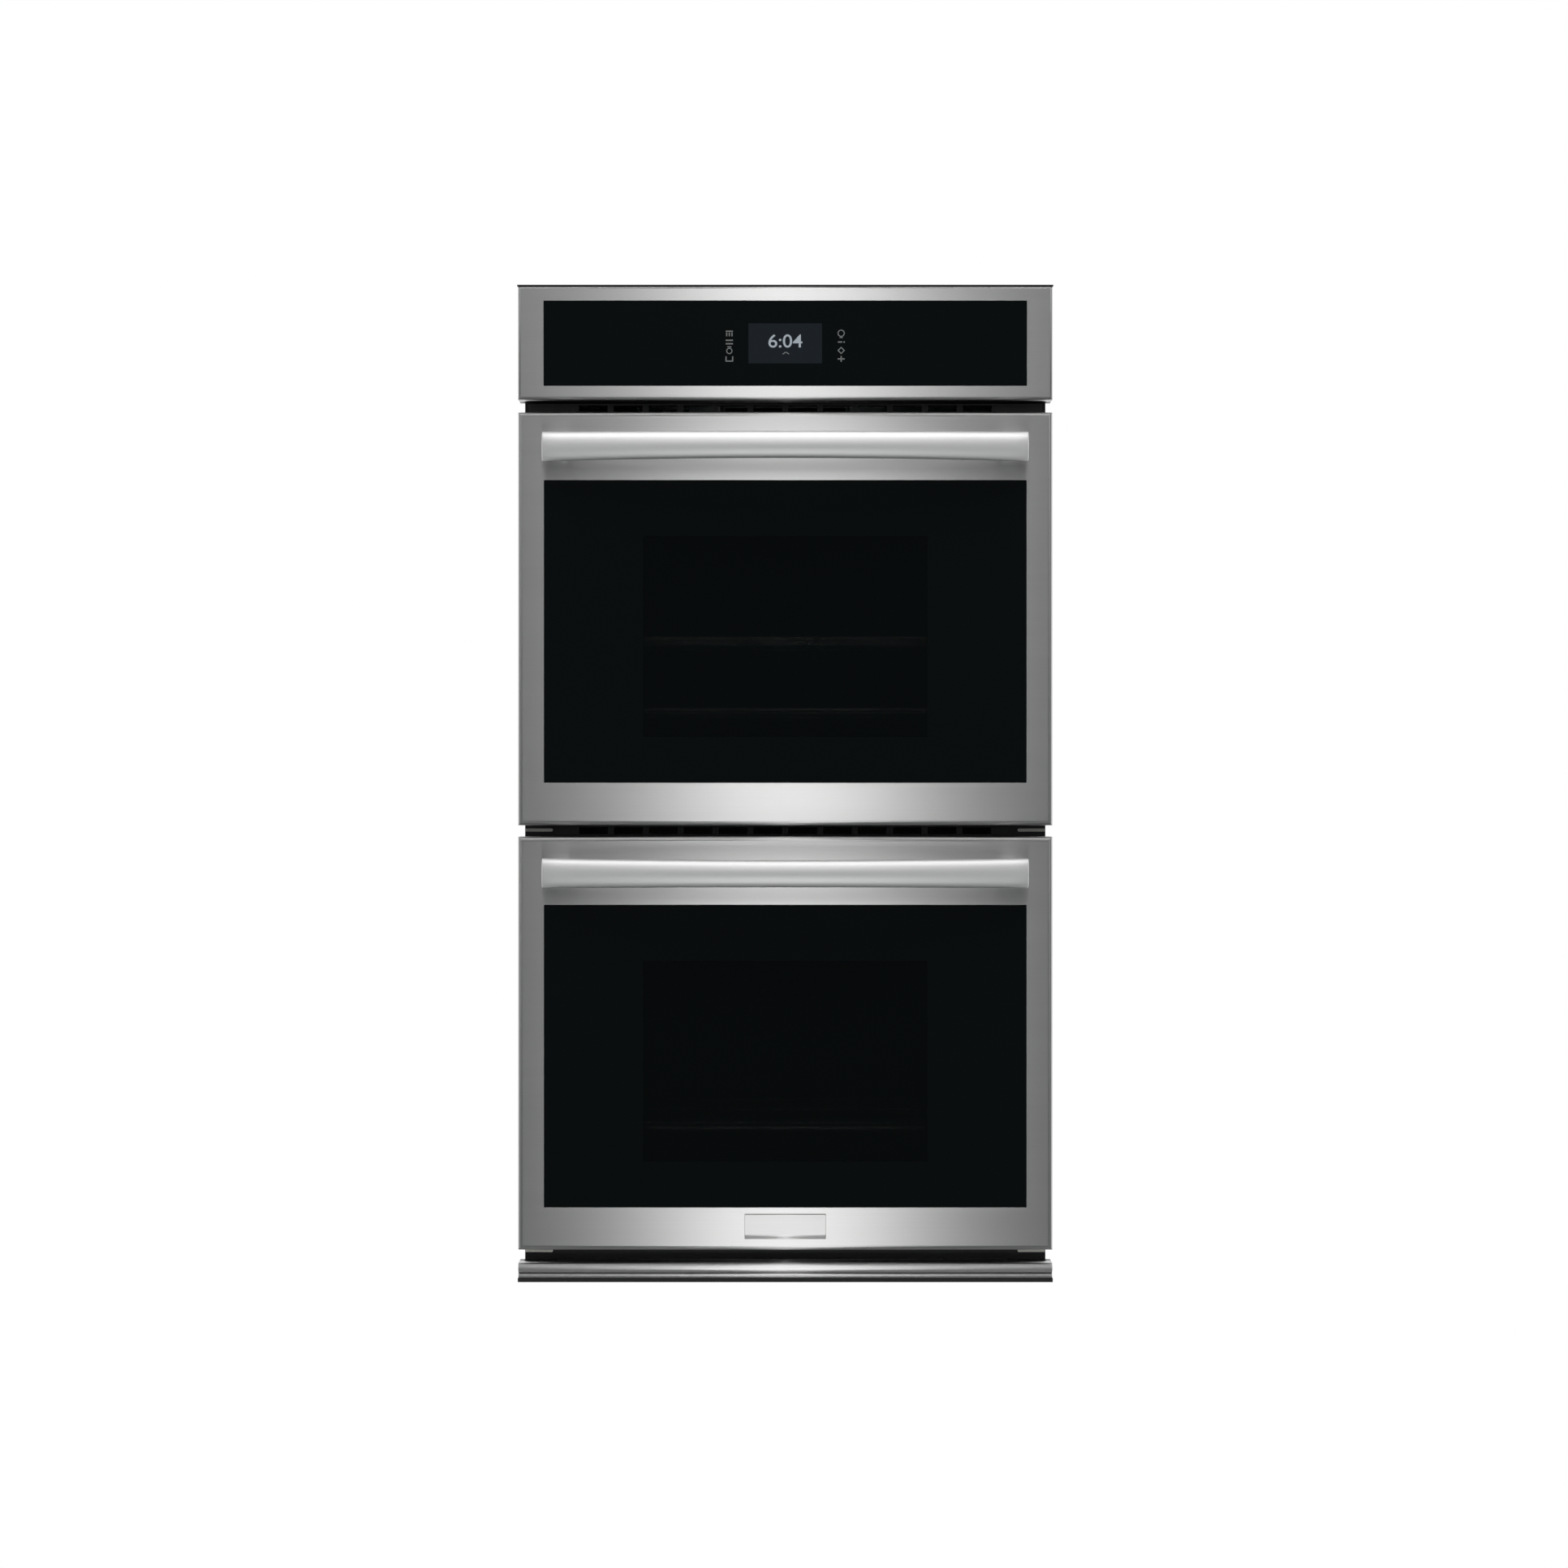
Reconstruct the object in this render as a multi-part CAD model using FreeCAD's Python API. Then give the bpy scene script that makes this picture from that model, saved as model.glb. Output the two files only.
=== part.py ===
"""Built-in double wall oven, 27 inch class, two drop-down doors and a touch control panel.

Millimetres. +X right, +Y back into the cabinet, +Z up. The origin is on the underside of the
base, in the middle of the width, in the plane of the cabinet's face.
"""

import FreeCAD, Part
import math
import os

os.makedirs("parts", exist_ok=True)
V = FreeCAD.Vector

# ---------------------------------------------------------------- driving dimensions

face_width = 685.8            # overall front, 27 inches
door_inset = 1.0              # doors and panel inside the front's width, on each side
frame_inset = 6.9             # black frame inside the front's width, on each side
cabinet_overlap = 30.4        # front beyond the box that slides into the cabinet, on each side
chassis_depth = 600.0
casing_sheet = 1.2            # galvanised casing
frame_sheet = 2.0             # enamelled front frame
flange_step = 1.0             # frame's side flanges set back onto the cabinet's face
steel_sheet = 1.5             # stainless skins and cavity walls

strip_height = 5.0            # black strip under the bottom trim
trim_height = 20.0
trim_to_door = 17.5
door_height = 528.5
door_gap = 14.5               # between the two doors
vent_gap = 16.0               # between the upper door and the control panel
panel_height = 145.0
cap_height = 2.0              # black strip over the control panel
top_overlap = 15.0            # face stands this far above the chassis

gasket_gap = 7.0              # door's back to the front frame
door_depth = 40.0
door_edge_radius = 6.0

cavity_side_space = 47.5      # cavity to the chassis box, on each side
cavity_rear_space = 120.0     # cavity to the back of the chassis
cavity_above_door = 54.5      # cavity floor over the door's bottom edge
cavity_below_top = 59.0       # cavity ceiling under the door's top edge
cavity_flange = 12.0
insulation = 28.0
insulation_front = 60.0
element_gap = 14.0            # space for the bake element under the cavity floor

stile_width = 33.4            # steel beside the outer glass
door_glass_offset = 54.5      # steel under the outer glass
top_rail = 87.0               # steel over the outer glass
glass_sheet = 4.0
glass_overlap = 9.5           # glass held behind the steel on each side
window_side = 159.9           # door liner beside its window
window_offset = 113.0         # door liner under its window
window_top = 158.5            # door liner over its window

handle_inset = 32.4           # bar's ends inside the door's width
handle_drop = 46.0            # bar's axis under the door's top edge
handle_end_height = 38.0
handle_mid_height = 34.5
handle_end_reach = 30.0       # bar's front over the door's front, at its ends
handle_mid_reach = 58.0
handle_thickness = 19.0
handle_post_inset = 21.0

hinge_inset = 10.5            # hinges inside the chassis box, on each side
pivot_ahead = 15.0            # pivot in front of the door's back
pivot_height = 14.0           # pivot over the door's bottom edge
hinge_pin_radius = 5.0
hinge_arm_thickness = 5.0
channel_inner = 14.0          # hinge channel's inside width
channel_height = 226.0
rod_radius = 3.0
running_gap = 0.05            # radial clearance of a pin in its hole
seat_gap = 0.3                # parts that rest near each other without pressing

fan_radius = 75.0
fan_shaft_radius = 4.0
element_radius = 3.2

rack_pitch = 46.5             # rack guide positions
rack_first = 42.5             # lowest position over the cavity floor
rack_wire = 2.0
rack_rod = 3.0
guide_rod = 2.5

panel_side = 32.9             # steel beside the control glass
panel_rail_bottom = 17.5
panel_rail_top = 18.5
display_width = 94.0
display_height = 51.0

latch_drop = 27.5             # latch slot under the door's top edge
latch_arm = 34.0
switch_x = 150.0

cabinet_screw_radius = 2.5
cabinet_screw_edge = 10.0     # screw holes to the front frame's edge
screw_rise = 75.0             # lowest cabinet screws
conduit_radius = 11.1         # half inch conduit knock-out
blower_radius = 65.0

# ---------------------------------------------------------------- levels that follow

door_width = face_width - 2 * door_inset
frame_width = face_width - 2 * frame_inset
chassis_width = face_width - 2 * cabinet_overlap
cavity_width = chassis_width - 2 * cavity_side_space
cavity_depth = chassis_depth - cavity_rear_space
cavity_height = door_height - cavity_above_door - cavity_below_top
door_glass_width = door_width - 2 * stile_width
door_glass_height = door_height - door_glass_offset - top_rail
window_width = door_width - 2 * window_side
window_height = door_height - window_offset - window_top
handle_length = door_width - 2 * handle_inset
handle_offset = door_height - handle_drop
hinge_x = chassis_width / 2 - hinge_inset
control_glass_width = door_width - 2 * panel_side
control_glass_height = panel_height - panel_rail_bottom - panel_rail_top
latch_height = door_height - latch_drop
cabinet_screw_x = frame_width / 2 - cabinet_screw_edge

trim_bottom = strip_height
screw_pitch = door_height + door_gap + 22
trim_top = trim_bottom + trim_height
lower_door_z = trim_top + trim_to_door
upper_door_z = lower_door_z + door_height + door_gap
panel_bottom = upper_door_z + door_height + vent_gap
panel_top = panel_bottom + panel_height
face_top = panel_top + cap_height
chassis_top = face_top - top_overlap
door_levels = (lower_door_z, upper_door_z)
cavity_floors = tuple(level + cavity_above_door for level in door_levels)

frame_front = -frame_sheet
door_back = frame_front - gasket_gap
door_front = door_back - door_depth
pivot_y = door_back - pivot_ahead
half_door = door_width / 2
half_frame = frame_width / 2
half_face = face_width / 2
half_chassis = chassis_width / 2
inner_chassis = half_chassis - casing_sheet
rear_inner = chassis_depth - casing_sheet

half_cavity = cavity_width / 2
cavity_outer = half_cavity + steel_sheet
cavity_back = cavity_depth + steel_sheet
insulation_outer = cavity_outer + insulation
insulation_back = cavity_back + insulation
fan_height = cavity_height / 2

deck_heights = tuple(floor + cavity_height + steel_sheet + insulation + 18.5
                     for floor in cavity_floors)
deck_top = deck_heights[1] + casing_sheet
rim_height = 30.0
vent_margin = 1.5
vent_slots = 12
vent_half = half_frame - 66
frame_vent_height = 9.0
screw_radius = 1.6
screw_hole = 1.8


# ---------------------------------------------------------------- shape helpers

def block(x, y, z):
    """Box from its ranges along X, Y and Z."""
    return Part.makeBox(x[1] - x[0], y[1] - y[0], z[1] - z[0], V(x[0], y[0], z[0]))


def rod(radius, start, end):
    """Round bar from one point to another."""
    base = V(*start)
    run = V(*end) - base
    return Part.makeCylinder(radius, run.Length, base, run)


def fuse(shapes):
    """One solid from shapes that meet."""
    return shapes[0].multiFuse(shapes[1:]).removeSplitter()


def cut(shape, tools):
    """Shape with the tools taken away."""
    return shape.cut(Part.makeCompound(list(tools)))


def both_sides(shapes):
    """The shapes and their mirror images across the middle plane."""
    return list(shapes) + [s.mirror(V(0, 0, 0), V(1, 0, 0)) for s in shapes]


def straight_edges(shape, axis, chosen):
    """Straight edges along an axis whose middle passes the chosen test."""
    found = []
    for edge in shape.Edges:
        if isinstance(edge.Curve, Part.Line):
            if abs(edge.tangentAt(edge.FirstParameter).dot(axis)) > 0.999:
                if chosen(edge.CenterOfMass):
                    found.append(edge)
    return found


def front_rounded(x, y, z, radius):
    """Box whose four front edges are rounded."""
    shape = block(x, y, z)

    def at_front(point):
        return abs(point.y - y[0]) < 0.01

    edges = straight_edges(shape, V(1, 0, 0), at_front) + straight_edges(shape, V(0, 0, 1), at_front)
    return shape.makeFillet(radius, edges)


def open_back_pan(x, y, z, wall, radius):
    """Sheet pan with rounded front edges, open at its back."""
    outer = front_rounded(x, y, z, radius)
    hollow = front_rounded((x[0] + wall, x[1] - wall), (y[0] + wall, y[1] + 1),
                           (z[0] + wall, z[1] - wall), radius - wall)
    return outer.cut(hollow)


def rounded_along_y(x, y, z, radius):
    """Box whose four long edges along Y are rounded."""
    shape = block(x, y, z)
    return shape.makeFillet(radius, straight_edges(shape, V(0, 1, 0), lambda point: True))


def bent_tube(points, radius, bend):
    """Round tube along straight runs joined by tangent arcs."""
    corners = [V(*p) for p in points]
    edges = []
    start = corners[0]
    for before, corner, after in zip(corners, corners[1:], corners[2:]):
        to_before = (before - corner).normalize()
        to_after = (after - corner).normalize()
        half_turn = to_before.getAngle(to_after) / 2
        reach = bend / math.tan(half_turn)
        first = corner + to_before * reach
        last = corner + to_after * reach
        middle_line = (to_before + to_after).normalize()
        centre = corner + middle_line * (bend / math.sin(half_turn))
        crown = centre - middle_line * bend
        edges.append(Part.makeLine(start, first))
        edges.append(Part.Arc(first, crown, last).toShape())
        start = last
    edges.append(Part.makeLine(start, corners[-1]))
    path = Part.Wire(edges)
    section = Part.Wire(Part.makeCircle(radius, corners[0], corners[1] - corners[0]))
    return path.makePipeShell([section], True, True)


def save(name, shapes):
    """Write one sub-part, a solid or a group of separate solids."""
    group = shapes if isinstance(shapes, list) else [shapes]
    solids = [solid for shape in group for solid in shape.Solids]
    whole = solids[0] if len(solids) == 1 else Part.makeCompound(solids)
    whole.exportStep("parts/" + name + ".step")


# ---------------------------------------------------------------- casing

def casing_screw_rows():
    """Heights of the rear screws and depths of the top screws."""
    rear = [90 + i * (chassis_top - 180) / 3 for i in range(4)]
    top = [80 + i * (chassis_depth - 160) / 2 for i in range(3)]
    return rear, top


screw_x = inner_chassis - 8.0
flange_width = 15.0
screw_length = 8.0


def base_pan():
    plate = block((-inner_chassis, inner_chassis), (frame_front, rear_inner), (0, casing_sheet))
    outer = block((-inner_chassis, inner_chassis), (0, rear_inner), (0, rim_height))
    inner = block((-inner_chassis + casing_sheet, inner_chassis - casing_sheet),
                  (casing_sheet, rear_inner - casing_sheet), (-1, rim_height + 1))
    return fuse([plate, outer.cut(inner)])


def side_panel():
    """Right side panel, with flanges turned in at its back and top."""
    top_z = chassis_top - casing_sheet
    sheet = block((inner_chassis, half_chassis), (0, chassis_depth), (0, top_z))
    flange_x = (inner_chassis - flange_width, inner_chassis)
    rear = block(flange_x, (rear_inner - casing_sheet, rear_inner),
                 (rim_height + 1, top_z - 20))
    top = block(flange_x, (10, rear_inner - 12), (top_z - casing_sheet, top_z))
    rear_rows, top_rows = casing_screw_rows()
    holes = [rod(screw_hole, (screw_x, rear_inner - 5, z), (screw_x, rear_inner + 1, z))
             for z in rear_rows]
    holes += [rod(screw_hole, (screw_x, y, top_z - 5), (screw_x, y, top_z + 1)) for y in top_rows]
    return cut(fuse([sheet, rear, top]), holes)


def rear_panel():
    sheet = block((-inner_chassis, inner_chassis), (rear_inner, chassis_depth),
                  (0, chassis_top - casing_sheet))
    rear_rows, top_rows = casing_screw_rows()
    holes = both_sides([rod(screw_hole, (screw_x, rear_inner - 1, z), (screw_x, chassis_depth + 1, z))
                        for z in rear_rows])
    holes.append(rod(conduit_radius, (conduit_x, rear_inner - 1, conduit_z),
                     (conduit_x, chassis_depth + 1, conduit_z)))
    for floor in cavity_floors:
        for row in range(5):
            z = floor + 120 + row * 16
            for side in (-1, 1):
                middle = side * 170
                holes.append(block((middle - 40, middle + 40),
                                   (rear_inner - 1, chassis_depth + 1), (z, z + 5)))
    return cut(sheet, holes)


def top_cover():
    sheet = block((-half_chassis, half_chassis), (0, chassis_depth),
                  (chassis_top - casing_sheet, chassis_top))
    rear_rows, top_rows = casing_screw_rows()
    holes = both_sides([rod(screw_hole, (screw_x, y, chassis_top - 5), (screw_x, y, chassis_top + 1))
                        for y in top_rows])
    for row in range(8):
        y = blower_y - 70 + row * 18
        holes.append(block((-90, 90), (y, y + 7), (chassis_top - 5, chassis_top + 1)))
    return cut(sheet, holes)


def casing_screws():
    rear_rows, top_rows = casing_screw_rows()
    screws = []
    for z in rear_rows:
        shank = rod(screw_radius, (screw_x, chassis_depth - screw_length, z), (screw_x, chassis_depth, z))
        head = rod(4, (screw_x, chassis_depth, z), (screw_x, chassis_depth + 2.5, z))
        screws.append(fuse([shank, head]))
    for y in top_rows:
        shank = rod(screw_radius, (screw_x, y, chassis_top - screw_length), (screw_x, y, chassis_top))
        head = rod(4, (screw_x, y, chassis_top), (screw_x, y, chassis_top + 2.5))
        screws.append(fuse([shank, head]))
    return both_sides(screws)


def cooling_decks():
    """Sheets over each oven that carry the cooling air to the front."""
    return [block((-inner_chassis, inner_chassis), (0, rear_inner - casing_sheet),
                  (height, height + casing_sheet)) for height in deck_heights]


# ---------------------------------------------------------------- front frame and trims

def vent_row(z_range, half_width, y_range):
    """Row of slots across the width."""
    pitch = 2 * half_width / vent_slots
    return [block((-half_width + i * pitch + 4, -half_width + (i + 1) * pitch - 4), y_range, z_range)
            for i in range(vent_slots)]


def frame_sheet_part(z):
    """Part of the front frame between two heights, with its stepped flanges and screw holes."""
    sheet = block((-half_frame, half_frame), (frame_front, 0), z)
    flanges = both_sides([block((half_chassis + seat_gap, half_frame), (-0.5, flange_step), z)])
    screws = both_sides([rod(cabinet_screw_radius, (cabinet_screw_x, frame_front - 1, screw_z),
                             (cabinet_screw_x, flange_step + 1, screw_z))
                         for screw_z in (screw_rise, screw_rise + screw_pitch, screw_rise + 2 * screw_pitch)])
    return cut(fuse([sheet] + flanges), screws)


def oven_frame():
    """Front frame around the two oven mouths, with the vents and the hinge and latch slots."""
    through = (frame_front - 1, 1)
    holes = []
    for level, floor in zip(door_levels, cavity_floors):
        holes.append(block((-half_cavity, half_cavity), through, (floor, floor + cavity_height)))
        pivot_z = level + pivot_height
        holes += both_sides([block((hinge_x - 5, hinge_x + 5), through, (pivot_z - 11, pivot_z + 11))])
        latch_z = level + latch_height
        holes.append(block((-6, 13), through, (latch_z - 3, latch_z + 3)))
        holes.append(rod(3, (-switch_x, -3, latch_z), (-switch_x, 1, latch_z)))
    vent_rows = (upper_door_z - door_gap / 2, panel_bottom - vent_gap / 2)
    for middle in vent_rows:
        holes += vent_row((middle - frame_vent_height / 2, middle + frame_vent_height / 2), vent_half, through)
    return cut(frame_sheet_part((strip_height, panel_bottom)), holes)


def panel_frame():
    """Front frame behind the control panel, open for the control board."""
    bay = half_frame - 56
    opening = block((-bay, bay), (frame_front - 1, 1), (panel_bottom + 15, panel_top - 20))
    return cut(frame_sheet_part((panel_bottom, panel_top)), [opening])


def vent_trims():
    """Black louvre over the upper door, cap strip over the panel and strip under the trim."""
    top = panel_bottom - vent_margin
    bottom = upper_door_z + door_height + vent_margin
    louvre = block((-half_frame + 6, half_frame - 6), (frame_front - 12, frame_front), (bottom, top))
    louvre = cut(louvre, vent_row((bottom + 2.5, top - 2.5), vent_half, (frame_front - 13, 1)))
    cap = block((-half_face, half_face), (door_front + 1, 0), (panel_top, face_top))
    foot = block((-half_face, half_face), (door_front + 11, frame_front), (0, strip_height))
    return [louvre, cap, foot]


def bottom_trim():
    """Stainless trim with an upper roll and a lower lip, hollow behind."""
    roll_radius = 6.5
    lip_radius = 3.5
    front = door_front + 7
    half = half_face - 1
    body = block((-half, half), (front + roll_radius, frame_front), (trim_bottom, trim_top))
    roll = rod(roll_radius, (-half, front + roll_radius, trim_top - roll_radius),
               (half, front + roll_radius, trim_top - roll_radius))
    lip = rod(lip_radius, (-half, front + roll_radius, trim_bottom + lip_radius),
              (half, front + roll_radius, trim_bottom + lip_radius))
    hollow = block((-half + 2, half - 2), (front + roll_radius + 4, frame_front + 1),
                   (trim_bottom + 2, trim_top - 2))
    return cut(fuse([body, roll, lip]), [hollow])


def control_bezel():
    pan = open_back_pan((-half_door, half_door), (door_front, frame_front),
                        (panel_bottom, panel_top), steel_sheet, 4.0)
    half_height = control_glass_height / 2
    opening = block((-control_glass_width / 2, control_glass_width / 2),
                    (door_front - 1, door_front + steel_sheet + 0.5),
                    (control_middle - half_height, control_middle + half_height))
    return cut(pan, [opening])


glass_front = door_front + steel_sheet
control_middle = panel_bottom + panel_rail_bottom + control_glass_height / 2


def control_glass():
    half_height = control_glass_height / 2 + glass_overlap
    return block((-control_glass_width / 2 - glass_overlap, control_glass_width / 2 + glass_overlap),
                 (glass_front, glass_front + glass_sheet),
                 (control_middle - half_height, control_middle + half_height))


display_back = glass_front + glass_sheet + 10.0
board = 1.6


def display_screen():
    """Display module that shows through the control glass."""
    half_w = display_width / 2 + 5
    half_h = display_height / 2 + 5
    body = block((-half_w, half_w), (glass_front + glass_sheet, display_back),
                 (control_middle - half_h, control_middle + half_h))
    return body


def control_boards():
    """Touch board behind the display, and the power board on the upper deck."""
    touch_half = control_glass_width / 2 - 109
    touch = block((-touch_half, touch_half), (display_back, display_back + board),
                  (panel_bottom + 12, panel_top - 12))
    chips = [block((x, x + 26), (display_back + board, display_back + board + 5),
                   (control_middle - 18, control_middle + 8)) for x in (-150, -40, 70, 130)]
    power_z = deck_top + 8
    power = block((-270, -120), (110, 300), (power_z, power_z + board))
    posts = [rod(3, (x, y, deck_top), (x, y, power_z)) for x in (-262, -128) for y in (118, 292)]
    relays = [block((-255 + i * 34, -230 + i * 34), (130, 158), (power_z + board, power_z + board + 22))
              for i in range(4)]
    transformer = block((-250, -200), (200, 245), (power_z + board, power_z + board + 38))
    plugs = block((-180, -130), (220, 280), (power_z + board, power_z + board + 12))
    return [touch] + chips + [power, transformer, plugs] + posts + relays


# ---------------------------------------------------------------- ovens

def cavity(floor):
    """Enamelled oven box with a flange around its mouth and holes in its back."""
    outer = block((-cavity_outer, cavity_outer), (0, cavity_back),
                  (floor - steel_sheet, floor + cavity_height + steel_sheet))
    flange = block((-half_cavity - cavity_flange, half_cavity + cavity_flange), (0, steel_sheet),
                   (floor - cavity_flange, floor + cavity_height + cavity_flange))
    inside = block((-half_cavity, half_cavity), (-1, cavity_depth), (floor, floor + cavity_height))
    shell = fuse([outer, flange]).cut(inside)
    return cut(shell, [tool.translated(V(0, 0, floor)) for tool in back_holes(1.0)])


lamp_at = (-half_cavity + 65, cavity_height - 85)
sensor_at = (half_cavity - 65, cavity_height - 45)
lamp_holder_radius = 24.0
ring_leg_x = 14.0
ring_radius = 92.0
broil_leg_x = 34.0
broil_drop = 22.0
bake_drop = steel_sheet + element_radius + seat_gap


def back_holes(extra):
    """Tools for the holes through the cavity's back and the insulation, over the cavity floor."""
    start = cavity_depth - 1
    end = insulation_back + 1
    tools = [rod(fan_shaft_radius + 2 * extra, (0, start, fan_height), (0, end, fan_height))]
    tools.append(rod(lamp_holder_radius + 0.2 * extra, (lamp_at[0], start, lamp_at[1]),
                     (lamp_at[0], end, lamp_at[1])))
    tools.append(rod(2.4 + 0.2 * extra, (sensor_at[0], start, sensor_at[1]),
                     (sensor_at[0], end, sensor_at[1])))
    for side in (-1, 1):
        ring_z = fan_height + ring_radius - 6
        tools.append(rod(element_radius + 0.2 * extra, (side * ring_leg_x, start, ring_z),
                         (side * ring_leg_x, end, ring_z)))
        broil_z = cavity_height - broil_drop
        tools.append(rod(element_radius + 0.2 * extra, (side * broil_leg_x, start, broil_z),
                         (side * broil_leg_x, end, broil_z)))
    return tools


def cavity_insulation():
    """Mineral wool blanket around each oven box."""
    blankets = []
    for floor in cavity_floors:
        outer = block((-insulation_outer, insulation_outer), (insulation_front, insulation_back),
                      (floor - steel_sheet - element_gap - insulation,
                       floor + cavity_height + steel_sheet + insulation))
        void = block((-cavity_outer, cavity_outer), (insulation_front - 1, cavity_back),
                     (floor - steel_sheet - element_gap, floor + cavity_height + steel_sheet))
        holes = [tool.translated(V(0, 0, floor)) for tool in back_holes(1.0)]
        blankets.append(cut(outer, [void] + holes))
    return blankets


def door_gaskets():
    """Woven seal around each cavity mouth, on the front frame."""
    seals = []
    inset = 4.0
    wide = 8.0
    for floor in cavity_floors:
        y = (door_back + seat_gap, frame_front)
        outer = rounded_along_y((-half_cavity - inset - wide, half_cavity + inset + wide), y,
                                (floor - inset - wide, floor + cavity_height + inset + wide), 14)
        inner = rounded_along_y((-half_cavity - inset, half_cavity + inset), (y[0] - 1, y[1] + 1),
                                (floor - inset, floor + cavity_height + inset), 6)
        seals.append(outer.cut(inner))
    return seals


guide_x = half_cavity - guide_rod - seat_gap
rail_x = guide_x - 2 * guide_rod + 0.3
rack_x = rail_x - 2.0
rack_lift = math.sqrt((guide_rod + rack_rod + seat_gap) ** 2 - (rail_x - rack_x) ** 2)
rack_count = int((cavity_height - 94) // rack_pitch) + 1
rack_front = 22.0
rack_back = cavity_depth - 44.0


def rack_guides():
    """Wire ladders on both walls of each oven."""
    ladders = []
    for floor in cavity_floors:
        foot = floor + rack_first - 20
        head = floor + rack_first + (rack_count - 1) * rack_pitch + 20
        bars = [rod(guide_rod, (guide_x, y, foot), (guide_x, y, head))
                for y in (40, cavity_depth / 2 - 5, cavity_depth - 50)]
        for i in range(rack_count):
            z = floor + rack_first + i * rack_pitch
            bars.append(rod(guide_rod, (rail_x, 25, z), (rail_x, cavity_depth - 40, z)))
        ladders.append(fuse(bars))
    return both_sides(ladders)


def rack(z):
    """Wire rack: a rod loop, wires front to back, two cross bars and a raised back stop."""
    back = rack_back
    corner = 14.0
    loop_points = [(0, rack_front, 0), (rack_x, rack_front, 0), (rack_x, back, 0),
                   (-rack_x, back, 0), (-rack_x, rack_front, 0), (0, rack_front, 0)]
    parts = [bent_tube(loop_points, rack_rod, corner)]
    wire_pitch = 25.0
    count = 2 * int((rack_x - 10) // wire_pitch) + 1
    cross_end = rail_x - guide_rod - seat_gap - 0.4
    for i in range(count):
        x = (i - (count - 1) / 2) * wire_pitch
        parts.append(rod(rack_wire, (x, rack_front, 0), (x, back, 0)))
    for y in (rack_front + 110, back - 110):
        parts.append(rod(2.5, (-cross_end, y, -3.8), (cross_end, y, -3.8)))
    parts.append(rod(2.5, (-rack_x + 12, rack_front + 26, -3.8), (rack_x - 12, rack_front + 26, -3.8)))
    return fuse(parts).translated(V(0, 0, z))


def rack_level(floor, position):
    return floor + rack_first + position * rack_pitch + rack_lift


def broil_elements():
    """Serpentine heater under each cavity ceiling, hung on four clips."""
    pieces = []
    front = 70
    rear = cavity_depth - 80
    middle = rear - 60
    outer_x = half_cavity - 75
    inner_x = outer_x / 2 + broil_leg_x
    centre_x = broil_leg_x + 16
    for floor in cavity_floors:
        z = floor + cavity_height - broil_drop
        half = [(broil_leg_x, insulation_back - 2), (broil_leg_x, rear), (outer_x, rear),
                (outer_x, front), (inner_x, front), (inner_x, middle), (centre_x, middle),
                (centre_x, front)]
        other = [(-x, y) for x, y in reversed(half)]
        pieces.append(bent_tube([(x, y, z) for x, y in half + other], element_radius, 15))
        pieces += both_sides([block((x - 2, x + 2), (y - 4, y + 4), (z + element_radius, floor + cavity_height))
                              for x, y in ((outer_x, rear - 100), (inner_x, front + 80))])
    return pieces


def bake_elements():
    """Hidden heater under each cavity floor."""
    heaters = []
    for floor in cavity_floors:
        z = floor - bake_drop
        rear = cavity_depth - 80
        points = [(200, cavity_depth - 14, z), (200, 100, z), (120, 100, z), (120, rear, z),
                  (40, rear, z), (40, 100, z)]
        points += [(-x, y, height) for x, y, height in reversed(points)]
        heaters.append(bent_tube(points, element_radius, 30))
    return heaters


cover_front = cavity_depth - 34.0
fan_y = cavity_depth - 18.0


def fan_covers():
    """Pressed cover over the fan, with an inlet of round holes and outlet slots at its sides."""
    covers = []
    for floor in cavity_floors:
        z = floor + fan_height
        pan = open_back_pan((-130, 130), (cover_front, cavity_depth), (z - 125, z + 125),
                            casing_sheet, 5.0)
        holes = []
        for ring, count in ((18, 8), (34, 14), (50, 20)):
            for i in range(count):
                angle = 2 * math.pi * i / count
                x = ring * math.cos(angle)
                dz = ring * math.sin(angle)
                holes.append(rod(4.5, (x, cover_front - 1, z + dz), (x, cover_front + 3, z + dz)))
        for i in range(6):
            slot = z - 95 + i * 33
            holes.append(block((-131, 131), (cover_front + 12, cover_front + 24), (slot, slot + 22)))
        covers.append(cut(pan, holes))
    return covers


def convection_elements():
    """Ring heater around each fan, with its two legs through the back."""
    rings = []
    for floor in cavity_floors:
        z = floor + fan_height
        ring = Part.makeTorus(ring_radius, element_radius, V(0, fan_y, z), V(0, 1, 0))
        legs = [rod(element_radius, (side * ring_leg_x, fan_y, z + ring_radius - 6),
                    (side * ring_leg_x, insulation_back - 2, z + ring_radius - 6)) for side in (-1, 1)]
        rings.append(fuse([ring] + legs))
    return rings


def convection_fan(floor):
    """Fan disc with eight blades and a hub that turns on the motor shaft."""
    z = floor + fan_height
    disc = rod(fan_radius, (0, fan_y + 8, z), (0, fan_y + 9.5, z))
    hub = rod(10, (0, fan_y - 8, z), (0, fan_y + 9.5, z))
    blade = block((18, fan_radius - 1), (fan_y - 12, fan_y + 8.2), (z - 0.75, z + 0.75))
    blades = [blade.rotated(V(0, 0, z), V(0, 1, 0), 45 * i) for i in range(8)]
    spokes = [block((8, 20), (fan_y + 2, fan_y + 8.2), (z - 0.75, z + 0.75)).rotated(
        V(0, 0, z), V(0, 1, 0), 45 * i) for i in range(8)]
    bore = rod(fan_shaft_radius + running_gap, (0, fan_y - 20, z), (0, fan_y + 20, z))
    return cut(fuse([disc, hub] + blades + spokes), [bore])


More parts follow.
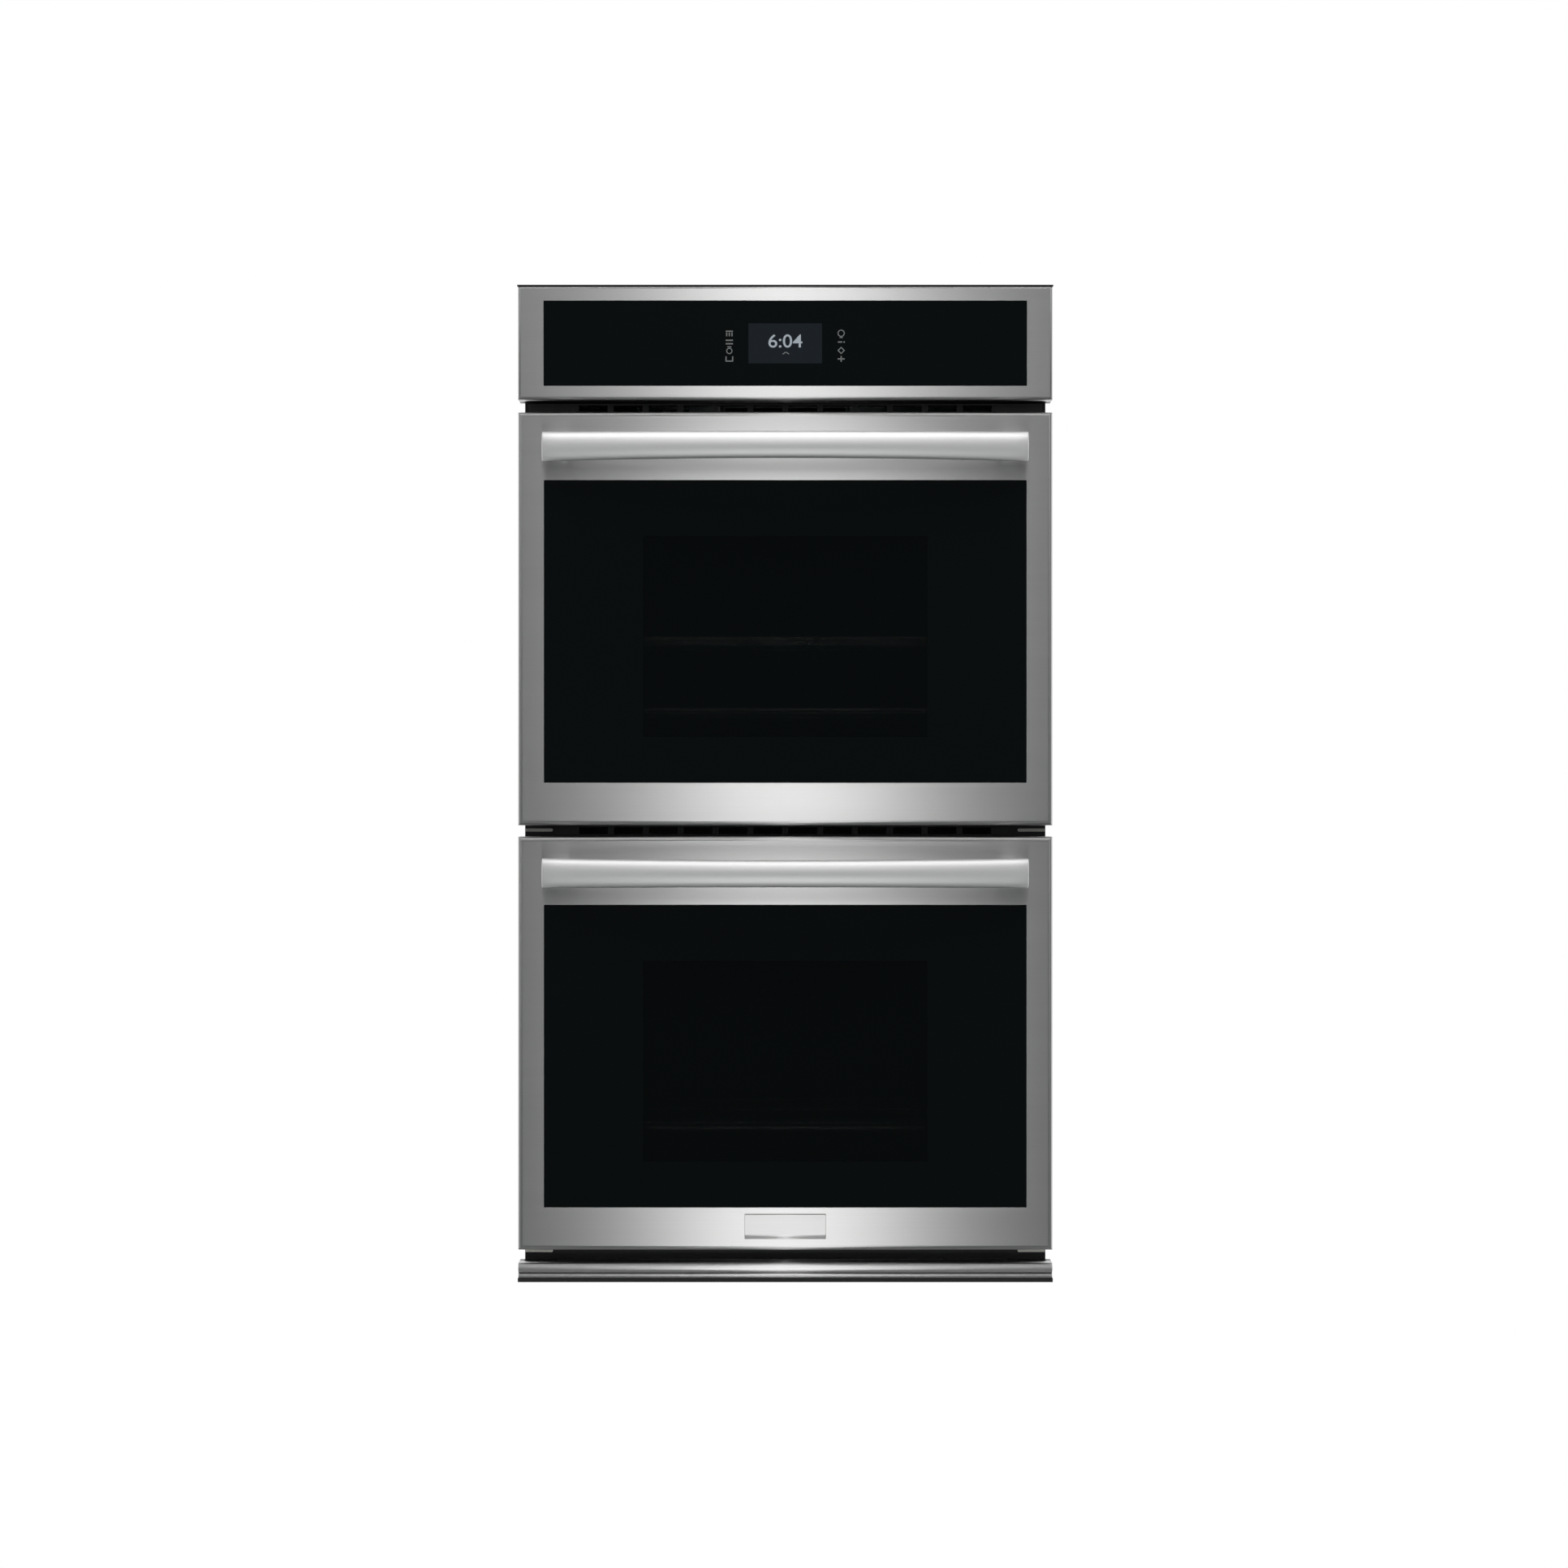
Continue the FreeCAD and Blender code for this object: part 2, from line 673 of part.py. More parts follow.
def fan_motors():
    motors = []
    for floor in cavity_floors:
        z = floor + fan_height
        plate = block((-55, 55), (insulation_back, insulation_back + steel_sheet), (z - 45, z + 45))
        body = rod(35, (0, insulation_back + steel_sheet, z), (0, rear_inner - 12, z))
        shaft = rod(fan_shaft_radius, (0, fan_y - 9, z), (0, insulation_back + 5, z))
        motors.append(fuse([plate, body, shaft]))
    return motors


def oven_lamps():
    """Lens, bulb and holder of each oven lamp."""
    pieces = []
    for floor in cavity_floors:
        x = lamp_at[0]
        z = floor + lamp_at[1]
        cup_back = cavity_back + 24
        lens = rod(lamp_holder_radius + 5, (x, cavity_depth - 5, z), (x, cavity_depth, z))
        cup = rod(lamp_holder_radius, (x, cavity_depth, z), (x, cup_back, z))
        cup = cut(cup, [rod(lamp_holder_radius - 2, (x, cavity_depth - 1, z), (x, cup_back - 3, z))])
        bulb = rod(6, (x, cavity_depth + 4, z), (x, cup_back - 3, z))
        pieces += [lens, cup, bulb]
    return pieces


def oven_sensors():
    """Temperature probe in each oven, with its mounting plate."""
    probes = []
    for floor in cavity_floors:
        x = sensor_at[0]
        z = floor + sensor_at[1]
        probe = rod(2.4, (x, cavity_depth - 60, z), (x, insulation_back - 4, z))
        plate = block((x - 16, x + 16), (cavity_depth - 1.5, cavity_depth), (z - 8, z + 8))
        probes.append(fuse([probe, plate]))
    return probes


# ---------------------------------------------------------------- door hinges, latch, switch

arm_half_height = 8.0
nose_reach = 11.0
nose_radius = 3.5
receiver_length = 55.0
receiver_pin_y = 38.0
receiver_pin_radius = 4.0


def hinge_receivers():
    """Boxes behind the frame that hold the hinge arms, and their bright lips on the frame."""
    pieces = []
    for level in door_levels:
        z = level + pivot_height
        x = (hinge_x - 8.5, hinge_x + 8.5)
        outer = block(x, (0, receiver_length), (z - 14, z + 14))
        inner = block((x[0] + steel_sheet, x[1] - steel_sheet), (-1, receiver_length - steel_sheet),
                      (z - 12.5, z + 12.5))
        pin = rod(receiver_pin_radius, (x[0], receiver_pin_y, z - 6), (x[1], receiver_pin_y, z - 6))
        pieces.append(fuse([outer.cut(inner), pin]))
        lip = block((hinge_x, half_frame - 0.5), (frame_front - 1.5, frame_front),
                    (level - 8.5, level - 4.5))
        tip = rod(2, (hinge_x, frame_front - 1.5, level - 6.5), (hinge_x, frame_front, level - 6.5))
        pieces.append(fuse([lip, tip]))
    return both_sides(pieces)


def hinge_arms():
    """Arms that hook on the receivers' pins and carry each door's hinge pins."""
    arms = []
    half = hinge_arm_thickness / 2
    for level in door_levels:
        z = level + pivot_height
        x = (hinge_x - half, hinge_x + half)
        hub = rod(9, (x[0], pivot_y, z), (x[1], pivot_y, z))
        bar = block(x, (pivot_y, receiver_length - 5), (z - arm_half_height, z + arm_half_height))
        neck = block(x, (pivot_y - nose_radius, pivot_y + nose_radius), (z, z + nose_reach))
        nose = rod(nose_radius, (x[0], pivot_y, z + nose_reach), (x[1], pivot_y, z + nose_reach))
        pin = rod(hinge_pin_radius, (hinge_x - 9.5, pivot_y, z), (hinge_x + 9.5, pivot_y, z))
        hook = rod(receiver_pin_radius + running_gap, (x[0] - 1, receiver_pin_y, z - 6),
                   (x[1] + 1, receiver_pin_y, z - 6))
        mouth = block((x[0] - 1, x[1] + 1), (receiver_pin_y - 4.05, receiver_pin_y + 4.05), (z - 12, z - 6))
        arms.append(cut(fuse([hub, bar, neck, nose, pin]), [hook, mouth]))
    return both_sides(arms)


channel_half = channel_inner / 2
ledge_height = 60.0
spring_bottom = 62.0
spring_top = 170.0
rod_bottom = 35.5


def hinge_channels(level):
    """U channels in the door, with the pin holes and the ledges the springs push on."""
    wall = steel_sheet
    x = (hinge_x - channel_half - wall, hinge_x + channel_half + wall)
    y = (pivot_y - 17, door_back - steel_sheet)
    outer = block(x, y, (level + 3.5, level + channel_height))
    inner = block((x[0] + wall, x[1] - wall), (y[0] + wall, y[1] + 1), (level, level + channel_height + 1))
    ledge = block((x[0] + wall, x[1] - wall), (y[0] + wall, y[1]),
                  (level + ledge_height, level + spring_bottom))
    z = level + pivot_height
    hole = rod(hinge_pin_radius + running_gap, (x[0] - 1, pivot_y, z), (x[1] + 1, pivot_y, z))
    guide = rod(rod_radius + running_gap, (hinge_x, pivot_y, level + ledge_height - 1),
                (hinge_x, pivot_y, level + spring_bottom + 1))
    return both_sides([cut(fuse([outer.cut(inner), ledge]), [hole, guide])])


def hinge_rods(level):
    """Rods pulled down by the hinge as the door opens, each with a head over its spring."""
    stem = rod(rod_radius, (hinge_x, pivot_y, level + rod_bottom), (hinge_x, pivot_y, level + spring_top + 6))
    head = rod(6.5, (hinge_x, pivot_y, level + spring_top), (hinge_x, pivot_y, level + spring_top + 3))
    return both_sides([fuse([stem, head])])


def hinge_springs(level):
    """Compression springs around the rods, each as a closed sleeve of the coil's size."""
    sleeve = rod(5.9, (hinge_x, pivot_y, level + spring_bottom), (hinge_x, pivot_y, level + spring_top))
    core = rod(rod_radius + 0.4, (hinge_x, pivot_y, level + spring_bottom - 1),
               (hinge_x, pivot_y, level + spring_top + 1))
    return both_sides([cut(sleeve, [core])])


latch_y = 12.0
latch_shaft = 3.0


def latch_motors():
    """Bracket behind the frame with a motor under it and the hook's upright shaft."""
    units = []
    for level in door_levels:
        z = level + latch_height - 1.5 - seat_gap
        plate = block((-30, 30), (0, 52), (z - 1.5, z))
        motor = rod(19, (0, 31, z - 24.5), (0, 31, z - 1.5))
        shaft = rod(latch_shaft, (0, latch_y, z - 1.5), (0, latch_y, z + 5))
        units.append(fuse([plate, motor, shaft]))
    return units


def latch_hook(level):
    """Flat hook that turns about the motor's shaft and catches behind the door liner."""
    z = (level + latch_height - 1.5, level + latch_height + 1.5)
    eye = rod(7, (0, latch_y, z[0]), (0, latch_y, z[1]))
    arm = block((-4, 4), (latch_y - latch_arm, latch_y), z)
    barb = block((0, 9), (latch_y - latch_arm, latch_y - latch_arm + 4), z)
    bore = rod(latch_shaft + running_gap, (0, latch_y, z[0] - 1), (0, latch_y, z[1] + 1))
    return cut(fuse([eye, arm, barb]), [bore])


plunger_radius = 2.5


def light_switches():
    """Lamp switches behind the frame, pressed by each door."""
    bodies = []
    for level in door_levels:
        z = level + latch_height
        body = block((-switch_x - 9, -switch_x + 9), (0, 30), (z - 9, z + 9))
        bore = rod(plunger_radius + running_gap, (-switch_x, -1, z), (-switch_x, 18, z))
        bodies.append(cut(body, [bore]))
    return bodies


def switch_plunger(level):
    z = level + latch_height
    return rod(plunger_radius, (-switch_x, door_back + seat_gap, z), (-switch_x, 12, z))


# ---------------------------------------------------------------- doors

notch_half = channel_half


def hinge_notches(level):
    """Tools for the openings that let the doors pass the hinge arms."""
    z = (level - 1, level + pivot_height + 10)
    return both_sides([block((hinge_x - notch_half, hinge_x + notch_half), (pivot_y - 9, door_back + 1), z)])


def door_skin(level):
    """Stainless outer pan with the opening for the glass."""
    pan = open_back_pan((-half_door, half_door), (door_front, door_back - 2),
                        (level, level + door_height), steel_sheet, door_edge_radius)
    opening = block((-door_glass_width / 2, door_glass_width / 2), (door_front - 1, door_front + 3),
                    (level + door_glass_offset, level + door_glass_offset + door_glass_height))
    return cut(pan, [opening] + hinge_notches(level))


def door_glass(level):
    half = door_glass_width / 2 + glass_overlap
    bottom = level + door_glass_offset
    return block((-half, half), (glass_front, glass_front + glass_sheet),
                 (bottom - glass_overlap, bottom + door_glass_height + glass_overlap))


def door_liner(level):
    """Inner panel with a window, a latch slot and a rim inside the skin, open below for air."""
    face = (door_back - steel_sheet, door_back)
    plate = block((-half_door + 0.5, half_door - 0.5), face, (level + 0.5, level + door_height - 0.5))
    rim_x = half_door - steel_sheet - 0.5
    rim_z = (level + steel_sheet + 0.5, level + door_height - steel_sheet - 0.5)
    rim = block((-rim_x, rim_x), (door_back - 16, face[0]), rim_z)
    hollow = block((-rim_x + steel_sheet, rim_x - steel_sheet), (door_back - 17, face[0]),
                   (rim_z[0] - 1, rim_z[1] - steel_sheet))
    window = block((-window_width / 2, window_width / 2), (face[0] - 1, face[1] + 1),
                   (level + window_offset, level + window_offset + window_height))
    latch_z = level + latch_height
    slot = block((-6, 14), (face[0] - 1, face[1] + 1), (latch_z - 4, latch_z + 4))
    return cut(fuse([plate, rim.cut(hollow)]), [window, slot] + hinge_notches(level))


def inner_glass(level):
    half = window_width / 2 + 10
    back = door_back - steel_sheet
    return block((-half, half), (back - glass_sheet, back),
                 (level + window_offset - 10, level + window_offset + window_height + 10))


def handle_section(x):
    """Height and front reach of the bar at a distance from its middle."""
    share = (2 * x / handle_length) ** 2
    height = handle_mid_height + (handle_end_height - handle_mid_height) * share
    reach = handle_mid_reach + (handle_end_reach - handle_mid_reach) * share
    return height, reach


def handle(level):
    """Bowed bar of oval section on two posts."""
    z = level + handle_offset
    wires = []
    stations = 9
    for i in range(stations):
        x = -handle_length / 2 + i * handle_length / (stations - 1)
        height, reach = handle_section(x)
        centre = V(x, door_front - reach + handle_thickness / 2, z)
        oval = Part.Ellipse(centre + V(0, 0, height / 2), centre + V(0, handle_thickness / 2, 0), centre)
        wires.append(Part.Wire(oval.toShape()))
    bar = Part.makeLoft(wires, True, False)
    post_x = handle_length / 2 - handle_post_inset
    height, reach = handle_section(post_x)
    posts = []
    for side in (-1, 1):
        post = rounded_along_y((side * post_x - 14, side * post_x + 14),
                               (door_front - reach + handle_thickness / 2, door_front),
                               (z - 13, z + 13), 5)
        posts.append(post)
    return fuse([bar] + posts)


def badge_plate():
    """Bare raised plate on the lower door's bottom rail."""
    plate = block((-52, 52), (door_front - 2.5, door_front), (lower_door_z + 14.5, lower_door_z + 45.5))
    return plate.makeFillet(1.5, straight_edges(plate, V(0, 1, 0), lambda point: True))


# ---------------------------------------------------------------- cooling blower and supply

blower_y = chassis_depth - 150
blower_half = 90.0
blower_floor = deck_top
blower_height = 62.0
duct_half = 80.0
duct_height = 24.0
blower_shaft = 4.0


def blower_housing():
    """Blower case on the upper deck with its duct to the front vent."""
    wall = casing_sheet
    top = blower_floor + blower_height
    case = block((-blower_half, blower_half), (blower_y - blower_half, blower_y + blower_half),
                 (blower_floor, top))
    duct = block((-duct_half, duct_half), (20, blower_y - blower_half + 1),
                 (blower_floor, blower_floor + duct_height))
    case_void = block((-blower_half + wall, blower_half - wall),
                      (blower_y - blower_half + wall, blower_y + blower_half - wall),
                      (blower_floor + wall, top - wall))
    duct_void = block((-duct_half + wall, duct_half - wall), (19, blower_y - blower_half + 2),
                      (blower_floor + wall, blower_floor + duct_height - wall))
    inlet = rod(58, (0, blower_y, top - 5), (0, blower_y, top + 1))
    return cut(fuse([case, duct]), [case_void, duct_void, inlet])


def blower_wheel():
    """Drum wheel with forward blades between a back plate and a ring."""
    bottom = blower_floor + 8
    height = 42.0
    plate = rod(blower_radius, (0, blower_y, bottom), (0, blower_y, bottom + 1.5))
    hub = rod(9, (0, blower_y, bottom), (0, blower_y, bottom + 20))
    ring = rod(blower_radius, (0, blower_y, bottom + height - 2), (0, blower_y, bottom + height))
    ring = cut(ring, [rod(blower_radius - 10, (0, blower_y, bottom), (0, blower_y, bottom + height + 1))])
    blade = block((blower_radius - 9.5, blower_radius - 0.5), (-0.6, 0.6), (bottom + 1, bottom + height - 1))
    blade = blade.rotated(V(blower_radius - 5, 0, 0), V(0, 0, 1), 25)
    blades = [blade.rotated(V(0, 0, 0), V(0, 0, 1), 15 * i).translated(V(0, blower_y, 0))
              for i in range(24)]
    bore = rod(blower_shaft + running_gap, (0, blower_y, bottom - 1), (0, blower_y, bottom + 21))
    return cut(fuse([plate, hub, ring] + blades), [bore])


def blower_motor():
    """Motor on three arms over the inlet, with its shaft down into the wheel."""
    top = blower_floor + blower_height
    body = rod(32, (0, blower_y, top + 2), (0, blower_y, top + 42))
    arm = block((0, 68), (-6, 6), (top, top + 3))
    arms = [arm.rotated(V(0, 0, 0), V(0, 0, 1), 120 * i + 30).translated(V(0, blower_y, 0))
            for i in range(3)]
    shaft = rod(blower_shaft, (0, blower_y, blower_floor + 9), (0, blower_y, top + 5))
    return fuse([body, shaft] + arms)


conduit_x = 220.0
conduit_z = deck_top + 34.0


def junction_box():
    """Supply box against the rear panel, with a terminal block inside."""
    x = (conduit_x - 60, conduit_x + 60)
    y = (rear_inner - 75, rear_inner)
    z = (deck_top, deck_top + 66)
    wall = steel_sheet
    case = block(x, y, z)
    void = block((x[0] + wall, x[1] - wall), (y[0] + wall, y[1] + 1), (z[0] + wall, z[1] - wall))
    terminals = block((conduit_x - 30, conduit_x + 30), (y[0] + wall, y[0] + wall + 16),
                      (z[0] + wall, z[0] + wall + 20))
    return [cut(case, [void]), terminals]


# ---------------------------------------------------------------- write the sub-parts

def build():
    save("side_panels", both_sides([side_panel()]))
    save("base_pan", base_pan())
    save("rear_panel", rear_panel())
    save("top_cover", top_cover())
    save("casing_screws", casing_screws())
    save("cooling_decks", cooling_decks())
    save("oven_frame", oven_frame())
    save("panel_frame", panel_frame())
    save("vent_trims", vent_trims())
    save("bottom_trim", bottom_trim())
    save("control_bezel", control_bezel())
    save("control_glass", control_glass())
    save("display_screen", display_screen())
    save("control_boards", control_boards())
    save("cavity_insulation", cavity_insulation())
    save("door_gaskets", door_gaskets())
    save("rack_guides", rack_guides())
    save("broil_elements", broil_elements())
    save("bake_elements", bake_elements())
    save("fan_covers", fan_covers())
    save("convection_elements", convection_elements())
    save("fan_motors", fan_motors())
    save("oven_lamps", oven_lamps())
    save("oven_sensors", oven_sensors())
    save("hinge_receivers", hinge_receivers())
    save("hinge_arms", hinge_arms())
    save("latch_motors", latch_motors())
    save("light_switches", light_switches())
    save("blower_housing", blower_housing())
    save("blower_wheel", blower_wheel())
    save("blower_motor", blower_motor())
    save("junction_box", junction_box())
    save("badge_plate", badge_plate())
    save("upper_rack_low", rack(rack_level(cavity_floors[1], 1)))
    save("upper_rack_high", rack(rack_level(cavity_floors[1], 3)))
    save("lower_rack", rack(rack_level(cavity_floors[0], 1)))
    for side, level, floor in zip(("lower", "upper"), door_levels, cavity_floors):
        save(side + "_cavity", cavity(floor))
        save(side + "_fan", convection_fan(floor))
        save(side + "_latch_hook", latch_hook(level))
        save(side + "_switch_plunger", switch_plunger(level))
        save(side + "_door_skin", door_skin(level))
        save(side + "_door_glass", door_glass(level))
        save(side + "_door_liner", door_liner(level))
        save(side + "_inner_glass", inner_glass(level))
        save(side + "_handle", handle(level))
        save(side + "_hinge_channels", hinge_channels(level))
        save(side + "_hinge_rods", hinge_rods(level))
        save(side + "_hinge_springs", hinge_springs(level))


build()
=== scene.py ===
"""The looks of a built-in double wall oven: brushed steel, black glass, enamel and zinc."""

import math

import bmesh
import bpy
from mathutils import Matrix, Vector


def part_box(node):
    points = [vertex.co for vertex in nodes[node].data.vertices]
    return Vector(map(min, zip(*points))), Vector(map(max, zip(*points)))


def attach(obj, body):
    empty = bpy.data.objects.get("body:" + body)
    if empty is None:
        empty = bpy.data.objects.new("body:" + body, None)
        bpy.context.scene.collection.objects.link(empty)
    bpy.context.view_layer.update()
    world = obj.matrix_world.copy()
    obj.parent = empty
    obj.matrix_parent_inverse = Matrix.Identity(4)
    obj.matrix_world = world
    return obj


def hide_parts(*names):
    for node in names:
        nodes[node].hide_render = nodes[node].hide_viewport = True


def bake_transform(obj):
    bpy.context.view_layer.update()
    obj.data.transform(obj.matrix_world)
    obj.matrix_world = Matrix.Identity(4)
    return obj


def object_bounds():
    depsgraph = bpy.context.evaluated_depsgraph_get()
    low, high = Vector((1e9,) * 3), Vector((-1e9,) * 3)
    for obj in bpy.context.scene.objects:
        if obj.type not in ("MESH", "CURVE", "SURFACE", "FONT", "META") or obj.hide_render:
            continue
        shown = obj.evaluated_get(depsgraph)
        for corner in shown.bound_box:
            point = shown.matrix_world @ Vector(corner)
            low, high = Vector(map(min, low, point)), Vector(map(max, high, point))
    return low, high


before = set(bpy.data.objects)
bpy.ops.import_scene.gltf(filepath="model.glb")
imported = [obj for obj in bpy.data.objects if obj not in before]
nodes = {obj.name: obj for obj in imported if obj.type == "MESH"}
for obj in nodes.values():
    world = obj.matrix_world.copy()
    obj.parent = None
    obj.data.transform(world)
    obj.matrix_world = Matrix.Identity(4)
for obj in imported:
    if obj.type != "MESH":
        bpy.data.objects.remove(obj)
cad_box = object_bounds()
scene = bpy.context.scene
scene.view_settings.view_transform = "Standard"

# ---- Camera
# A long lens straight in front of the doors, level with the middle of the oven's height. The
# picture's width is measured in the plane of the doors' front.
door_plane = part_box("control_bezel")[0].y
camera_distance = 4.5
picture_width = 2.0045
left_step = 0.0016
sight_limit = 60.0
camera = bpy.data.objects.new("camera", bpy.data.cameras.new("camera"))
camera.data.sensor_width = 36.0
camera.data.lens = camera.data.sensor_width * camera_distance / picture_width
camera.data.clip_end = sight_limit
camera.location = (-left_step, door_plane - camera_distance, (cad_box[0].z + cad_box[1].z) / 2)
camera.rotation_euler = (math.pi / 2, 0, 0)
scene.collection.objects.link(camera)
scene.camera = camera


# ---- Studio
# A pale floor, a white room behind the oven and a dim one in front of it, so that the black
# glass stays black. Strips high and low in front put the bright band on the brushed steel, and
# wide soft lamps over, beside and behind the oven light the rest.
class Wire:
    """An output of a shader node. Sums on wires add the nodes that work them out."""

    def __init__(self, recipe, socket):
        self.recipe = recipe
        self.socket = socket

    def pick(self, name):
        return Wire(self.recipe, self.socket.node.outputs[name])

    def sum(self, operation, first, second=0.0):
        return self.recipe.node("Math", {"operation": operation}, {0: first, 1: second})

    def __add__(self, other):
        return self.sum("ADD", self, other)

    def __sub__(self, other):
        return self.sum("SUBTRACT", self, other)

    def __rsub__(self, other):
        return self.sum("SUBTRACT", other, self)

    def __mul__(self, other):
        return self.sum("MULTIPLY", self, other)

    def __gt__(self, other):
        return self.sum("GREATER_THAN", self, other)

    def __lt__(self, other):
        return self.sum("LESS_THAN", self, other)

    def size(self):
        return self.sum("ABSOLUTE", self)

    __radd__ = __add__
    __rmul__ = __mul__


class Recipe:
    """The node tree of one material, or of the world."""

    def __init__(self, tree):
        self.tree = tree
        tree.nodes.clear()

    def node(self, kind, settings=None, sockets=None, output=0):
        """Adds a node: its settings first, then the values or links of its sockets."""
        made = self.tree.nodes.new("ShaderNode" + kind)
        for name, value in (settings or {}).items():
            setattr(made, name, value)
        for name, value in (sockets or {}).items():
            if isinstance(value, Wire):
                self.tree.links.new(value.socket, made.inputs[name])
            else:
                made.inputs[name].default_value = value
        return Wire(self, made.outputs[output]) if made.outputs else None

    def place(self):
        """Object coordinates, in metres."""
        return self.node("TexCoord").pick("Object")

    def noise(self, scale, detail=2.0, stretch=(1, 1, 1)):
        """Soft noise from 0 to 1, its grain stretched along the axes."""
        at = self.node("Mapping", sockets={"Vector": self.place(), "Scale": stretch})
        return self.node("TexNoise", sockets={"Vector": at, "Scale": scale, "Detail": detail})

    def blend(self, share, first, second):
        """A colour between two colours."""
        return self.node("Mix", {"data_type": "RGBA"}, {0: share, 6: first, 7: second}, 2)

    def bump(self, height, strength, distance):
        return self.node("Bump", sockets={"Height": height, "Strength": strength,
                                          "Distance": distance})

    def background_rays(self, rearward):
        """1 for the rays that see the plain background: straight, through glass or mirrored."""
        path = self.node("LightPath")
        return (path.pick("Is Camera Ray") + path.pick("Is Transmission Ray")
                + path.pick("Is Glossy Ray") * rearward)

    def surface(self, shader):
        self.node("OutputMaterial", sockets={"Surface": shader})


def rgb(red, green, blue):
    return (red, green, blue, 1.0)


world = bpy.data.worlds.new("studio")
scene.world = world
world.use_nodes = True
room = Recipe(world.node_tree)
direction = room.node("TexCoord").pick("Generated")
axes = room.node("SeparateXYZ", sockets={0: direction})
seen = room.background_rays(axes.pick("Y") > 0.0)
height = room.node("MapRange", {"interpolation_type": "SMOOTHSTEP"},
                   {"Value": axes.pick("Z"), "From Min": 0.12, "From Max": 0.75})
dim = room.blend(height, rgb(0.048, 0.054, 0.057), rgb(0.13, 0.13, 0.13))
dim_light = room.node("Background", sockets={"Color": dim, "Strength": 1.0})
white = room.node("Background", sockets={"Color": rgb(1, 1, 1), "Strength": 1.0})
mixed = room.node("MixShader", sockets={0: seen, 1: dim_light, 2: white})
room.node("OutputWorld", sockets={"Surface": mixed})

oven_middle = (0, 0, 0.64)
under_middle = (0, 0, -0.4)
for name, width, length, place, target, watts in (
        ("high_strip", 0.5, 2.4, (0, -4.2, 3.05), oven_middle, 22),
        ("low_strip", 0.5, 3.2, (0, -4.0, -2.3), oven_middle, 34),
        ("overhead", 5.0, 1.4, (0, -1.6, 3.7), oven_middle, 54),
        ("fill_left", 4.6, 6.4, (-3.2, -2.75, -0.4), under_middle, 30),
        ("fill_right", 4.6, 6.4, (3.2, -2.75, -0.4), under_middle, 30),
        ("rear_left", 2.5, 2.5, (-3.2, 2.8, 2.4), oven_middle, 12),
        ("rear_right", 2.5, 2.5, (3.2, 2.8, 2.4), oven_middle, 12)):
    lamp = bpy.data.lights.new(name, "AREA")
    lamp.shape = "RECTANGLE"
    lamp.size = width
    lamp.size_y = length
    lamp.energy = watts
    holder = bpy.data.objects.new(name, lamp)
    holder.location = place
    aim = Vector(target) - Vector(place)
    holder.rotation_euler = aim.to_track_quat("-Z", "Y").to_euler()
    scene.collection.objects.link(holder)

floor_half_width = 1.6
floor_half_depth = 0.88
floor_middle_y = 0.82
floor_glow = 1.06
glow_share = 0.93
floor_mesh = bmesh.new()
bmesh.ops.create_grid(floor_mesh, x_segments=1, y_segments=1, size=1.0, matrix=(
    Matrix.Translation((0, floor_middle_y, 0))
    @ Matrix.Diagonal((floor_half_width, floor_half_depth, 1, 1))))
floor_data = bpy.data.meshes.new("floor")
floor_mesh.to_mesh(floor_data)
floor = bpy.data.objects.new("floor", floor_data)
scene.collection.objects.link(floor)
pale = bpy.data.materials.new("pale_floor")
pale.use_nodes = True
recipe = Recipe(pale.node_tree)
rearward = recipe.node("SeparateXYZ", sockets={0: recipe.place()}).pick("Y") > 0.0
seen = recipe.background_rays(rearward)
grain = recipe.noise(40.0).pick("Fac")
shade = recipe.blend(grain, rgb(0.8, 0.8, 0.8), rgb(0.84, 0.84, 0.84))
matt = recipe.node("BsdfDiffuse", sockets={"Color": shade})
lit = recipe.node("Emission", sockets={"Color": rgb(1, 1, 1), "Strength": floor_glow})
recipe.surface(recipe.node("MixShader", sockets={0: seen * glow_share, 1: matt, 2: lit}))
floor_data.materials.append(pale)


# ---- Casing
# Galvanised sheet: base pan, sides, back, top cover and the two cooling decks. The zinc shows
# faint crystals. The panels butt on each other and are screwed to turned-in flanges. The screws
# and the motors' cans are zinc plated.
def principled(name, fixed, varying):
    """A material from constant values and a function that gives the varying ones."""
    material = bpy.data.materials.new(name)
    material.use_nodes = True
    recipe = Recipe(material.node_tree)
    values = dict(fixed)
    values.update(varying(recipe))
    recipe.surface(recipe.node("BsdfPrincipled", sockets=values))
    return material


def zinc_crystals(recipe):
    at = recipe.place()
    cells = recipe.node("TexVoronoi", sockets={"Vector": at, "Scale": 105.0})
    shade = recipe.node("SeparateColor", sockets={0: cells.pick("Color")})
    cloud = recipe.noise(6.0, 3.0).pick("Fac")
    share = shade * 0.4 + cloud * 0.6
    return {
        "Base Color": recipe.blend(share, rgb(0.50, 0.52, 0.53), rgb(0.62, 0.64, 0.65)),
        "Roughness": 0.42 + shade * 0.07,
        "Normal": recipe.bump(cloud, 0.08, 0.002),
    }


galvanised = principled("galvanised_sheet", {"Metallic": 0.9}, zinc_crystals)


def dress(material, *names):
    """Gives CAD pieces a material."""
    for name in names:
        for slot in nodes[name].material_slots:
            slot.material = material


dress(galvanised, "base_pan", "side_panels", "rear_panel", "top_cover",
      "cooling_decks", "blower_housing", "junction_box")


crease_angle = 32


def add_piece(name, mesh, material):
    """Puts a mesh in the scene, in one material."""
    mesh.materials.clear()
    mesh.materials.append(material)
    piece = bpy.data.objects.new(name, mesh)
    scene.collection.objects.link(piece)
    return piece


def soften(mesh, angle):
    """Smooth shading, with edges sharper than the angle kept."""
    mesh.shade_smooth()
    mesh.set_sharp_from_angle(angle=math.radians(angle))


